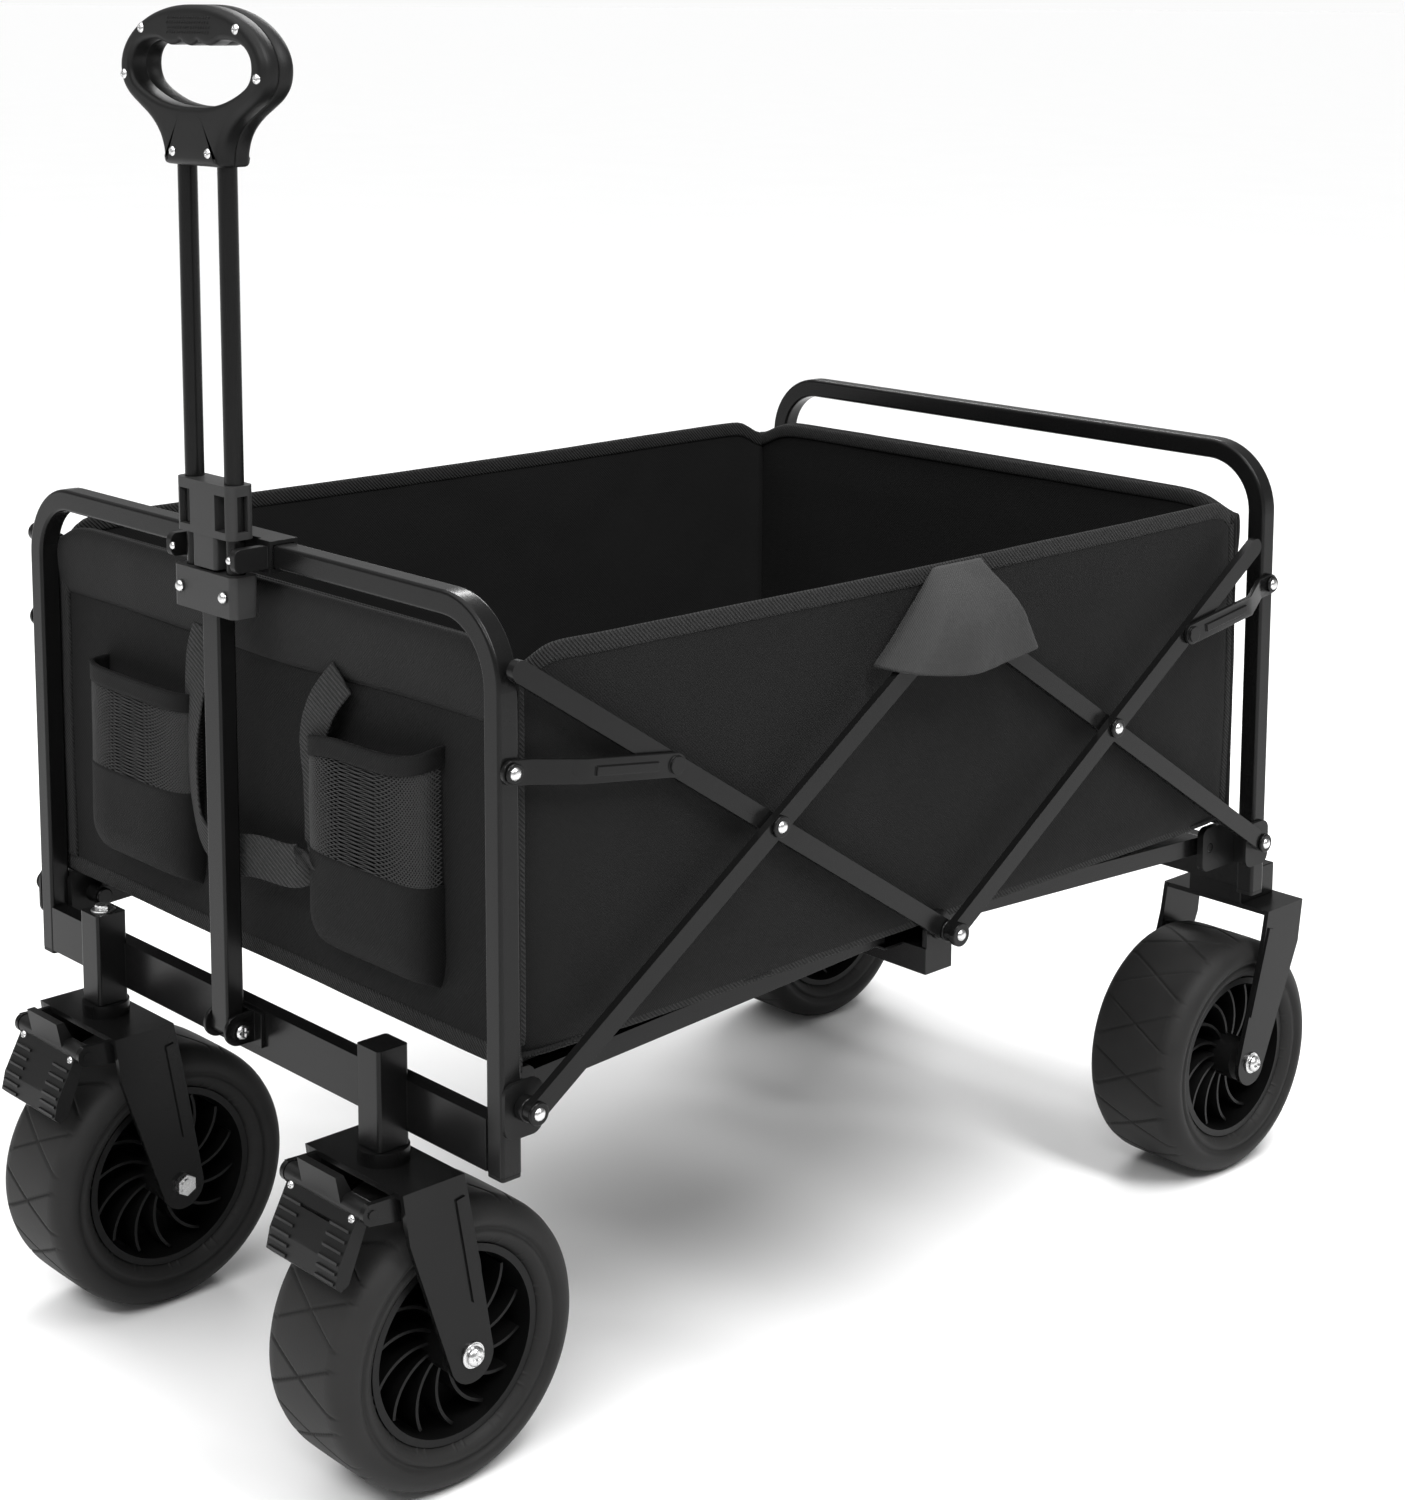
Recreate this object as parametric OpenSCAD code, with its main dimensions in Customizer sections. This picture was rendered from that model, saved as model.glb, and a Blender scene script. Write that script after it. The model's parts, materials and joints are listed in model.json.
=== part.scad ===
// Collapsible utility wagon with a telescoping pull handle.
// Axes: X across, Y along with the handle end at -Y, Z up. Origin on the floor at the middle.
// Work is laid out with the front hoop's centre plane at Y = 0 and shifted back to the middle by y_shift.

/* [Frame] */
// Overall width of the hoops
hoop_w = 560; // [520:1:600]
// Height of the hoops' top edge above the floor
hoop_top = 600; // [570:1:640]
// Height of the posts' lower ends above the floor
post_bottom = 240; // [232:1:250]
// Side of the square hoop tube
tube = 16; // [14:1:18]
// Wall of the hoop tube
tube_wall = 1.5; // [1:0.1:2.5]
// Height of the rear hoop's top edge above the floor
rear_top = 608; // [570:1:640]
// Outer radius of the hoops' top corners
hoop_r = 55; // [45:1:70]

/* [Fold linkage] */
// Height of the lower bar pivots
pivot_z = 284; // [280:1:290]
// Distance of the lower bar pivots behind the hoop plane
pivot_y = 6; // [4:0.5:10]
// Angle of the side bars above the floor when open
bar_angle = 33.5; // [31:0.5:36]
// Length from a corner pivot to the crossing pivot
arm_long = 247; // [240:1:255]
// Length from the rear crossing pivot to the free tip of the rear upper bar
arm_tip = 205; // [195:1:247]
// Length from a crossing pivot to a middle pivot
arm_short = 211; // [205:1:216]
// Height of a side bar's section
bar_h = 14; // [12:1:16]
// Thickness of a side bar
bar_t = 6; // [5:0.5:7]
// Radius of the pivot rivets
rivet_r = 4; // [3:0.5:4.5]
// Height of the link pivots on the posts
link_z = 496; // [490:1:502]

/* [Basket] */
// Height of the basket floor
floor_z = 307.5; // [306:0.5:312]
// Height of the basket rim
rim_z = 567; // [550:1:572]
// Thickness of the fabric walls
cloth_t = 3; // [2:0.5:4]
// Distance of the rear end panel in front of the rear hoop plane
rear_inset = 36; // [14:1:40]
// Half width of the basket outside
basket_x = 275; // [265:1:276]

/* [Wheels] */
// Wheel radius
wheel_r = 97; // [92:1:99]
// Wheel width
wheel_w = 88; // [80:1:92]
// Distance of the caster stems from the middle
stem_x = 171; // [165:1:175]
// Distance of the rear wheels from the middle
rear_x = 232; // [225:1:234]
// Trail of the caster axle behind its stem
trail = 29; // [24:1:34]
// Radius of the wheel axles
axle_r = 5; // [4:0.5:6]

/* [Handle] */
// Height of the handle's top
handle_top = 952; // [930:1:980]
// Spacing of the twin tubes
twin_s = 47.6; // [44:0.2:52]
// Radius of the twin tubes
twin_r = 6.5; // [6:0.5:7]
// Width of the lower square tube
stick_w = 20; // [18:1:22]

/* [Hidden] */
gap = 0.05;
hx = hoop_w / 2;
ix = hx - tube;
c_t = cos(bar_angle);
s_t = sin(bar_angle);
arm_l = arm_long;
arm_s = arm_short;
mid_y = pivot_y + (arm_l + arm_s) * c_t;
span = 2 * mid_y;
cross_y = pivot_y + arm_l * c_t;
cross_z = pivot_z + arm_l * s_t;
low_z = cross_z - arm_s * s_t;
high_z = cross_z + arm_s * s_t;
tip_y = pivot_y;
tip_z = pivot_z + 2 * arm_l * s_t;
link_d = 105;
link_py = cross_y - link_d * c_t;
link_pz = cross_z + link_d * s_t;
link_ang = atan2(link_pz - link_z, link_py);
link_l = sqrt(link_py * link_py + (link_pz - link_z) * (link_pz - link_z));
stem_y = -18;
axle_f = stem_y + trail;
rear_plate_y = span + 34;
axle_b = span - 8;
y_shift = (axle_f + axle_b) / 2;
beam_h = 34;
beam_y0 = -8;
beam_y1 = 4;
in0 = hx + 3;
in1 = in0 + bar_t;
out0 = in1 + 2;
out1 = out0 + bar_t;
plate_z0 = 217;
plate_z1 = 221;
fork_in = wheel_w / 2 + 5;
fork_t = 4;
base_py = 22;
base_pz = 282;
base_ry = rear_inset + 8;
channel_w = 28;
channel_z = 272;
channel_h = 19.4;
rail_x = 247;
rail = 14;
tilt_y = -23;
tilt_z = 262;
stick_d = 14;
stick_top = 640;
twin_y = -24;
clamp_z0 = 552;
clamp_z1 = 580;
neck_z = 848;
grip_y = -24;
pedal_y = -60;
pedal_z = 212;

black = [0.09, 0.09, 0.1];
plastic = [0.07, 0.07, 0.07];
cloth = [0.12, 0.12, 0.13];
steel = [0.72, 0.72, 0.74];
rubber = [0.16, 0.16, 0.16];

// Puts hoop-plane coordinates into the wagon frame.
module put() {
  translate([0, -y_shift, 0]) children();
}

// A pair mirrored across the middle.
module both() {
  children();
  mirror([1, 0, 0]) children();
}

// Front things repeated at the rear end.
module rear() {
  translate([0, span, 0]) mirror([0, 1, 0]) children();
}

// Round bar along X between two X positions.
module xrod(r, x0, x1, y, z) {
  translate([x0, y, z]) rotate([0, 90, 0]) cylinder(r = r, h = x1 - x0, $fn = 48);
}

// Square with rounded corners.
module rsq(w, d, r) {
  union() {
    square([w - 2 * r, d], center = true);
    square([w, d - 2 * r], center = true);
    for (sx = [-1, 1], sy = [-1, 1])
      translate([sx * (w / 2 - r), sy * (d / 2 - r)]) circle(r = r, $fn = 24);
  }
}

// Rectangle of Y and Z extruded along X.
module yz(x0, x1) {
  translate([x0, 0, 0]) rotate([90, 0, 90]) linear_extrude(x1 - x0) children();
}

module hoop_path(w, r, top) {
  leg = top - hoop_r - post_bottom;
  c = hoop_r - tube / 2;
  for (s = [-1, 1]) {
    translate([s * (hx - tube / 2), 0, post_bottom]) linear_extrude(leg) rsq(w, w, r);
    translate([s * (hx - hoop_r), 0, top - hoop_r]) rotate([90, 0, 0]) rotate([0, 0, s > 0 ? 0 : 90])
      rotate_extrude(angle = 90, $fn = 96) translate([c, 0]) rsq(w, w, r);
  }
  translate([-(hx - hoop_r), 0, top - tube / 2]) rotate([0, 90, 0]) linear_extrude(2 * (hx - hoop_r)) rsq(w, w, r);
}

module hoop(top) {
  difference() {
    hoop_path(tube, 2.5, top);
    hoop_path(tube - 2 * tube_wall, 1, top);
  }
}

module post_caps() {
  both() translate([hx - tube / 2, 0, post_bottom - 3]) union() {
    linear_extrude(3) rsq(tube - 0.4, tube - 0.4, 2.3);
    translate([0, 0, 3]) linear_extrude(9) rsq(tube - 2 * tube_wall - 0.02, tube - 2 * tube_wall - 0.02, 0.9);
  }
}

module beam_bar() {
  difference() {
    translate([-ix, beam_y0, post_bottom]) cube([2 * ix, beam_y1 - beam_y0, beam_h]);
    translate([-ix - 1, beam_y0 + 1.6, post_bottom + 1.6]) cube([2 * ix + 2, beam_y1 - beam_y0 - 3.2, beam_h - 3.2]);
  }
}

module stem_housing() {
  translate([stem_x, stem_y, 231.3]) difference() {
    linear_extrude(67) rsq(24, 24, 2.5);
    translate([0, 0, -1]) cylinder(r = 6 + gap, h = 64, $fn = 64);
  }
}

module front_beam() {
  color(black) put() union() {
    difference() {
      beam_bar();
      both() translate([stem_x, stem_y, 231]) linear_extrude(66) rsq(23, 23, 2);
    }
    both() stem_housing();
  }
}

// Moulded corner piece: outer plate for the side bar, web behind the post, inner plate for the base.
module corner_brackets(bp) {
  both() difference() {
    union() {
      yz(hx, hx + 3) translate([pivot_y + 1, 282]) rsq(30, 36, 8);
      yz(ix - 1, hx + 1) translate([10.2, 281]) square([4, 34], center = true);
      yz(ix - 6, ix - 0.2) translate([(bp + 15) / 2, 281]) rsq(bp + 4, 36, 7);
    }
    translate([ix - 0.02, -9, 230]) cube([tube + 0.04, 17.02, 90]);
    xrod(rivet_r, ix - 10, ix + 1, bp, base_pz);
    xrod(rivet_r, hx - 0.5, hx + 4, pivot_y, pivot_z);
  }
}

// Shouldered rivets for the lower bars and the base frame.
module end_pivots(x0, x1, bp) {
  both() {
    xrod(rivet_r, hx, x1 + 1, pivot_y, pivot_z);
    if (x0 - hx - 3.2 > 1)
      xrod(8, hx + 3.02, x0 - 0.1, pivot_y, pivot_z);
    xrod(7.5, x1 + 0.1, x1 + 2.6, pivot_y, pivot_z);
    xrod(rivet_r, rail_x - rail / 2 - 1, ix - 0.2, bp, base_pz);
    xrod(6.5, rail_x - rail / 2 - 3, rail_x - rail / 2 - 0.2, bp, base_pz);
    xrod(3, hx, hx + 4.5, 0, link_z);
    xrod(6.5, hx + 4.1, hx + 6.2, 0, link_z);
  }
}

module handle_bracket() {
  color(black) put() difference() {
    union() {
      translate([-22, beam_y0 - 3, 248]) cube([44, 3, 24]);
      for (s = [-1, 1])
        yz(s > 0 ? 11 : -14, s > 0 ? 14 : -11) union() {
          translate([tilt_y, tilt_z]) circle(r = 11, $fn = 48);
          translate([tilt_y, tilt_z - 11]) square([beam_y0 - 2 - tilt_y, 22]);
        }
    }
    xrod(rivet_r, -20, 20, tilt_y, tilt_z);
  }
}

module handle_bolt() {
  color(steel) put() union() {
    xrod(rivet_r, -16, 16, tilt_y, tilt_z);
    xrod(7, 14.02, 18.5, tilt_y, tilt_z);
    translate([-18.5, tilt_y, tilt_z]) rotate([0, 90, 0]) cylinder(r = 7.5, h = 4.48, $fn = 6);
  }
}

// Clip on the hoop's top bar with two arms beside the handle.
module handle_clip() {
  color(plastic) put() difference() {
    union() {
      translate([-44, -11, hoop_top - tube - 3]) cube([88, 22, tube + 6]);
      for (s = [-1, 1])
        translate([s * 38.5, -22.5, hoop_top - tube / 2]) rotate([90, 0, 90]) translate([0, 0, -3]) linear_extrude(6) rsq(28, 16, 5);
    }
    translate([-60, -tube / 2 - 0.02, hoop_top - tube - 0.02]) cube([120, tube + 0.04, tube + 0.04]);
    translate([-30, -40, hoop_top - tube - 4]) cube([60, 31.9, tube + 8]);
  }
}

module panel() {
  difference() {
    translate([-basket_x, 11, floor_z - 8]) cube([2 * basket_x, cloth_t, rim_z - floor_z + 8]);
    both() translate([ix - 8, 0, floor_z - 12]) cube([30, 40, 12]);
  }
}

module rear_panel() {
  color(cloth) put() rear() translate([0, rear_inset - 14, 0]) panel();
}

module front_panel() {
  color(cloth) put() panel();
}

// Open-topped cup pocket sewn to the end panel.
module cup_pocket(cx) {
  translate([cx, 0, 335]) difference() {
    linear_extrude(145) union() {
      translate([-64, -6]) square([128, 16.98]);
      translate([-58, -12]) square([116, 8]);
      for (s = [-1, 1]) translate([s * 58, -6]) circle(r = 6, $fn = 24);
    }
    translate([0, 0, 3]) linear_extrude(145) union() {
      translate([-61, -6]) square([122, 14.5]);
      translate([-57, -9.5]) square([114, 8]);
    }
  }
}

module side_wall() {
  color(cloth) put() difference() {
    translate([basket_x - cloth_t, 14.2, floor_z]) cube([cloth_t, span - rear_inset - 14.4, rim_z - floor_z]);
    translate([basket_x - 10, mid_y - 12, floor_z - 20]) cube([20, 24, 28]);
  }
}

module floor_cloth() {
  color(cloth) put() translate([-basket_x + cloth_t + 0.2, 14.2, floor_z]) cube([2 * (basket_x - cloth_t - 0.2), span - rear_inset - 14.4, 3]);
}

// Flat bar with rounded ends, length along +Y from its first pivot, holes at the listed distances.
module bar(l, back, front, holes, x0) {
  yz(x0, x0 + bar_t) difference() {
    union() {
      translate([-back, -bar_h / 2]) square([l + back + front, bar_h]);
      translate([-back, 0]) circle(r = bar_h / 2, $fn = 48);
      translate([l + front, 0]) circle(r = bar_h / 2, $fn = 48);
    }
    for (h = holes)
      translate([h[0], 0]) circle(r = rivet_r + h[1], $fn = 48);
  }
}

module bar_lower(x0, tail) {
  put() translate([0, pivot_y, pivot_z]) rotate([bar_angle, 0, 0])
    bar(arm_l + arm_s, 0, 6, [[0, gap], [arm_l, gap], [arm_l + arm_s, tail]], x0);
}

module bar_upper(x0) {
  put() translate([0, mid_y, low_z]) mirror([0, 1, 0]) rotate([bar_angle, 0, 0])
    bar(arm_s + arm_l, 0, 4, [[0, gap], [arm_s, 0]], x0);
}

// Mirror about the wagon's middle plane, in hoop-plane coordinates.
module rear_bar_upper() {
  put() translate([0, mid_y, low_z]) rotate([bar_angle, 0, 0])
    bar(0, 0, arm_s + arm_tip, [[0, gap], [arm_s, gap]], out0);
}

module rear_bar_lower() {
  put() translate([0, span - pivot_y, pivot_z]) mirror([0, 1, 0]) rotate([bar_angle, 0, 0])
    bar(arm_l + arm_s, 0, 6, [[0, gap], [arm_l, 0], [arm_l + arm_s, 0.5]], in0);
}

module rear_cross_rivets() {
  color(steel) both() put() {
    xrod(rivet_r, in0 - 1, out1 + 1, span - cross_y, cross_z);
    xrod(6.5, in0 - 2.2, in0, span - cross_y, cross_z);
    xrod(7.5, out1 + 0.1, out1 + 2.8, span - cross_y, cross_z);
  }
}

module cross_rivets(fixed0, fixed1, free1) {
  both() put() {
    xrod(rivet_r, fixed0 - 1, free1 + 1, cross_y, cross_z);
    xrod(6.5, fixed0 - 2, fixed0, cross_y, cross_z);
    xrod(7.5, free1 + 0.1, free1 + 2.8, cross_y, cross_z);
  }
}

module centre_channel() {
  color(black) put() difference() {
    union() {
      difference() {
        translate([-hx + 3, mid_y - channel_w / 2, channel_z]) cube([2 * hx - 6, channel_w, channel_h]);
        translate([-hx, mid_y - channel_w / 2 + 2, channel_z - 2]) cube([2 * hx, channel_w - 4, channel_h]);
      }
      translate([-rail_x - 12, mid_y - 33, channel_z + channel_h - 2]) cube([2 * rail_x + 24, 71, 2]);
      both() translate([hx - 4, 0, 0]) yz(0, 4.5) union() {
        translate([mid_y, channel_z + channel_h / 2]) square([channel_w, channel_h], center = true);
        translate([mid_y - 13, 280]) square([26, low_z - 280]);
        translate([mid_y, low_z]) circle(r = 13, $fn = 48);
      }
    }
    both() xrod(rivet_r, hx - 10, hx + 10, mid_y, low_z);
  }
}

module centre_bolts() {
  color(steel) both() put() {
    xrod(rivet_r, hx - 5, out1 + 1, mid_y, low_z);
    xrod(7, hx - 7, hx - 4.02, mid_y, low_z);
    xrod(8, hx + 0.52, in0 - 0.1, mid_y, low_z);
    xrod(8, in1 + 0.1, out0 - 0.1, mid_y, low_z);
    xrod(8.5, out1 + 0.1, out1 + 5, mid_y, low_z);
  }
}

module top_rivets() {
  color(steel) both() put() {
    xrod(rivet_r, in0 - 1.5, out1 + 1, mid_y, high_z);
    xrod(7, in0 - 3, in0 - 0.3, mid_y, high_z);
    xrod(7.5, out1, out1 + 2.6, mid_y, high_z);
  }
}

// Base half frame, laid out from its pivot along +Y and tilted up to rest on the centre channel.
module base_frame(bp, base_l, base_ang) {
  translate([0, bp, base_pz]) rotate([base_ang, 0, 0]) difference() {
    union() {
      for (s = [-1, 1]) {
        translate([s * rail_x - rail / 2, 0, -rail / 2]) cube([rail, base_l, rail]);
        translate([s * rail_x - rail / 2, 0, 0]) rotate([0, 90, 0]) cylinder(r = rail / 2, h = rail, $fn = 48);
      }
      for (y = [32, base_l - rail])
        translate([-rail_x, y, -rail / 2]) cube([2 * rail_x, rail, rail]);
    }
    for (s = [-1, 1])
      translate([s * rail_x - rail / 2 + 1.5, 14, -rail / 2 + 1.5]) cube([rail - 3, base_l - 16, rail - 3]);
    for (y = [32, base_l - rail])
      translate([-rail_x, y + 1.5, -rail / 2 + 1.5]) cube([2 * rail_x, rail - 3, rail - 3]);
    translate([-rail_x - 20, 0, 0]) rotate([0, 90, 0]) cylinder(r = rivet_r + gap, h = 2 * rail_x + 40, $fn = 48);
  }
}

// Pressed link from the post to the side bar, joggled outwards.
module link(px) {
  w = 16;
  put() both() translate([0, 0, link_z]) rotate([link_ang, 0, 0]) union() {
    difference() {
      intersection() {
        translate([0, 0, -w / 2]) linear_extrude(w) polygon([[hx + 0.6, -8], [hx + 3.8, -8], [hx + 3.8, 14], [px + 3, 50],
          [px + 3, link_l + 8], [px, link_l + 8], [px, 51], [hx + 0.6, 15]]);
        yz(hx - 5, hx + 40) union() {
          translate([0, -w / 2]) square([link_l, w]);
          circle(r = 8, $fn = 48);
          translate([link_l, 0]) circle(r = 8, $fn = 48);
        }
      }
      xrod(3 + gap, hx - 5, hx + 10, 0, 0);
    }
    xrod(6, px + 3, px + 5, link_l, 0);
    translate([px + 2.5, 58, -3]) cube([2, link_l - 74, 6]);
  }
}

// Caster yoke: plate, two tapered legs, swivel pin and brake ears, drawn about its stem.
module leg_shape(dy) {
  e = abs(dy);
  q = sign(dy);
  polygon([[-24 * q, 2], [24 * q, 2], [31 * q, -33], [(e + 16.5) * q, wheel_r - plate_z1 + 4], [(e - 16.3) * q, wheel_r - plate_z1 - 4.8], [-19 * q, -33]]);
  translate([dy, wheel_r - plate_z1]) circle(r = 17, $fn = 64);
}

module yoke(dy) {
  difference() {
    union() {
      translate([0, 0, plate_z0]) linear_extrude(plate_z1 - plate_z0) rsq(2 * (fork_in + fork_t), 48, 5);
      for (s = [-1, 1]) {
        yz(s > 0 ? fork_in : -fork_in - fork_t, s > 0 ? fork_in + fork_t : -fork_in)
          translate([0, plate_z1 - 2]) leg_shape(dy);
      }
    }
    xrod(axle_r, -80, 80, dy, wheel_r);
  }
}

// Raised rib pressed into the outside of each leg.
module leg_rib(dy) {
  for (s = [-1, 1])
    translate([s * (fork_in + fork_t - 0.2), sign(dy) * 20, 206]) rotate([sign(dy) * atan2(abs(dy) - 13, 90), 0, 0])
      translate([s > 0 ? 0 : -1.7, -3.5, -74]) cube([1.7, 7, 74]);
}

module caster_fork() {
  union() {
    difference() {
      union() {
        yoke(trail);
        leg_rib(trail);
        translate([0, 0, plate_z1]) cylinder(r = 17, h = 9.8, $fn = 64);
        for (s = [-1, 1])
          yz(s * 43.5 - 2, s * 43.5 + 2) union() {
            polygon([[-20, plate_z0 + 1], [-20, plate_z0 - 16], [pedal_y - stem_y - 3, pedal_z - 7], [pedal_y - stem_y - 3, pedal_z + 7]]);
            translate([pedal_y - stem_y, pedal_z]) circle(r = 7, $fn = 32);
          }
      }
      xrod(3, -60, -38, pedal_y - stem_y, pedal_z);
      xrod(3, 38, 60, pedal_y - stem_y, pedal_z);
      xrod(axle_r, -80, 80, trail, wheel_r);
    }
    translate([0, 0, plate_z1]) cylinder(r = 6, h = 70, $fn = 64);
    xrod(3, -46.5, 46.5, pedal_y - stem_y, pedal_z);
  }
}

module axle(dy) {
  union() {
    xrod(axle_r, -fork_in - fork_t - 6, fork_in + fork_t + 1, dy, wheel_r);
    xrod(8.5, fork_in + fork_t, fork_in + fork_t + 1.2, dy, wheel_r);
    xrod(6.5, fork_in + fork_t + 1, fork_in + fork_t + 4, dy, wheel_r);
    translate([-fork_in - fork_t - 5, dy, wheel_r]) rotate([0, 90, 0]) cylinder(r = 8, h = 5, $fn = 6);
  }
}

// Front face of the pad at a given height.
function pad_y(z) = z < 182 ? -65 + (z - 169) * 3 / 13 : -62 + (z - 182) * 14.5 / 28;

// Foot pedal with a tab above its pin and a ribbed pad below.
module brake_pedal() {
  difference() {
    union() {
      xrod(6.5, -41, 41, pedal_y - stem_y, pedal_z);
      yz(-38, 38) polygon([[-47.5, 210], [-39.5, 206], [-50, 180], [-55, 168], [-61, 165], [-65, 169], [-62, 182]]);
      yz(-21, 21) polygon([[-48, 211], [-36, 211], [-46, 231], [-52, 231]]);
      for (s = [-26, 26], i = [0 : 5])
        yz(s - 10, s + 10) translate([pad_y(171 + i * 6), 171 + i * 6]) square([2.4, 2], center = true);
    }
    xrod(3 + gap, -60, 60, pedal_y - stem_y, pedal_z);
  }
}

module tyre() {
  w = wheel_w / 2;
  rotate([0, 90, 0]) rotate_extrude($fn = 120)
    polygon([[66, -w + 10], [70, -w + 5], [76, -w + 1.5], [84, -w], [90, -w + 1.6], [94.6, -w + 5.5], [96.4, -w + 11], [wheel_r, -w + 20],
      [wheel_r, w - 20], [96.4, w - 11], [94.6, w - 5.5], [90, w - 1.6], [84, w], [76, w - 1.5], [70, w - 5], [66, w - 10]]);
}

// Dished hub with swirled ribs on both faces.
module hub() {
  w = wheel_w / 2;
  rotate([0, 90, 0]) difference() {
    union() {
      difference() {
        translate([0, 0, -w + 8]) cylinder(r = 66, h = 2 * w - 16, $fn = 96);
        for (s = [-1, 1])
          translate([0, 0, s > 0 ? 4 : -w - 1]) cylinder(r = 61, h = w - 3, $fn = 96);
      }
      translate([0, 0, -w + 1]) cylinder(r = 17, h = 2 * w - 2, $fn = 64);
      intersection() {
        translate([0, 0, -w + 16]) cylinder(r = 61.5, h = 2 * w - 32, $fn = 96);
        for (i = [0 : 13])
          rotate([0, 0, i * 360 / 14]) translate([15, 38, 0]) rotate([0, 0, -90]) rotate_extrude(angle = 74, $fn = 96)
            translate([38, 0]) square([2.2, 2 * w], center = true);
      }
    }
    translate([0, 0, -w - 1]) cylinder(r = axle_r + gap, h = 2 * w + 2, $fn = 64);
  }
}

module rear_fork() {
  union() {
    yoke(axle_b - rear_plate_y);
    leg_rib(axle_b - rear_plate_y);
  }
}

// Rear uprights that carry the fixed forks.
module rear_beam() {
  color(black) put() union() {
    translate([0, span, 0]) mirror([0, 1, 0]) beam_bar();
    both() difference() {
      translate([rear_x - 26, span + 8, plate_z1 + 0.02]) cube([52, 46, 26]);
      translate([rear_x - 23, span + 11, plate_z1 - 1]) cube([46, 40, 24]);
      translate([ix - 1, span - 20, post_bottom - 30]) cube([tube + 2, 28.02, 90]);
    }
  }
}

module rear_axles() {
  color(steel) put() both() translate([rear_x, rear_plate_y, 0]) axle(axle_b - rear_plate_y);
}

module handle_stick() {
  color(black) put() difference() {
    translate([0, tilt_y, 0]) union() {
      translate([0, 0, tilt_z]) linear_extrude(stick_top - 6 - tilt_z) rsq(stick_w, stick_d, 2);
      xrod(stick_d / 2, -stick_w / 2, stick_w / 2, 0, tilt_z);
    }
    translate([0, tilt_y, tilt_z + 14]) linear_extrude(stick_top) rsq(stick_w - 3, stick_d - 3, 1);
    xrod(rivet_r + gap, -30, 30, tilt_y, tilt_z);
  }
}

// Collar on top of the square tube that guides the twin tubes, with the catch housing under it.
module handle_collar() {
  color(plastic) put() difference() {
    union() {
      translate([0, twin_y, 604]) linear_extrude(36) rsq(66, 20, 6);
      translate([0, twin_y, 582]) linear_extrude(23) rsq(28, 19, 3);
    }
    for (s = [-1, 1])
      translate([s * twin_s / 2, twin_y, 560]) cylinder(r = twin_r + gap, h = 100, $fn = 64);
    translate([0, tilt_y, 560]) linear_extrude(74) rsq(stick_w, stick_d, 2);
    for (s = [-1, 1]) {
      translate([s * 21 - 6, twin_y - 12, 609]) cube([12, 12, 24]);
      translate([s * 29 - 6, twin_y - 4, 609]) cube([12, 8, 24]);
    }
  }
}

// Hairpin of round tube: two legs and a bend inside the grip.
module handle_tubes() {
  z1 = neck_z + 4;
  color(black) put() difference() {
    union() {
      for (s = [-1, 1])
        translate([s * twin_s / 2, twin_y, clamp_z0 + 3]) cylinder(r = twin_r, h = z1 - clamp_z0 - 3, $fn = 64);
      translate([0, twin_y, z1]) rotate([90, 0, 0]) rotate_extrude(angle = 180, $fn = 64) translate([twin_s / 2, 0]) circle(r = twin_r, $fn = 64);
    }
    for (s = [-1, 1])
      translate([s * twin_s / 2, twin_y, clamp_z0]) cylinder(r = twin_r - 1.3, h = z1 - clamp_z0 - 1, $fn = 48);
  }
}

// Slider joined to the lower ends of the twin tubes.
module handle_clamp() {
  color(plastic) put() union() {
    difference() {
      translate([0, twin_y - 0.5, clamp_z0]) linear_extrude(clamp_z1 - clamp_z0) rsq(72, 21, 5);
      for (s = [-1, 1])
        translate([s * twin_s / 2, twin_y, clamp_z0 + 3]) cylinder(r = twin_r, h = 60, $fn = 64);
      translate([0, tilt_y, clamp_z0 - 1]) linear_extrude(80) rsq(stick_w + 0.6, stick_d + 0.6, 2.2);
    }
    for (s = [-1, 1])
      translate([s * 26, twin_y - 11, 566]) rotate([90, 0, 0]) cylinder(r = 3.6, h = 1.6, $fn = 32);
  }
}

// Rounded D of the hand grip.
module grip_outline() {
  h = [[0, 952], [20, 951.2], [40, 947.8], [57, 942.2], [70, 935], [79, 927], [84.3, 918], [85.5, 908.5], [82.5, 899.5], [75, 892], [64, 885.6],
    [53, 879.6], [44, 873], [37.5, 865.5], [34, 857], [33.2, 848]];
  d = handle_top - 952;
  k = len(h);
  polygon([for (i = [0 : 2 * k - 2]) i < k ? [h[i][0], h[i][1] + d] : [-h[2 * k - 1 - i][0], h[2 * k - 1 - i][1] + d]]);
}

// Finger opening with three ripples under the top bar.
module grip_hole() {
  h = [[0, 925.6], [5, 926.6], [10, 928.6], [15, 927], [22, 925.8], [29, 927], [35, 929.2], [45, 929.4], [55, 928], [64, 924.5], [70, 918], [71, 910], [67.5, 903],
    [60, 898], [49, 893.4], [34, 889], [17, 886.6], [0, 886]];
  d = handle_top - 952;
  k = len(h);
  polygon([for (i = [0 : 2 * k - 3]) i < k ? [h[i][0], h[i][1] + d] : [-h[2 * k - 2 - i][0], h[2 * k - 2 - i][1] + d]]);
}

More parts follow.
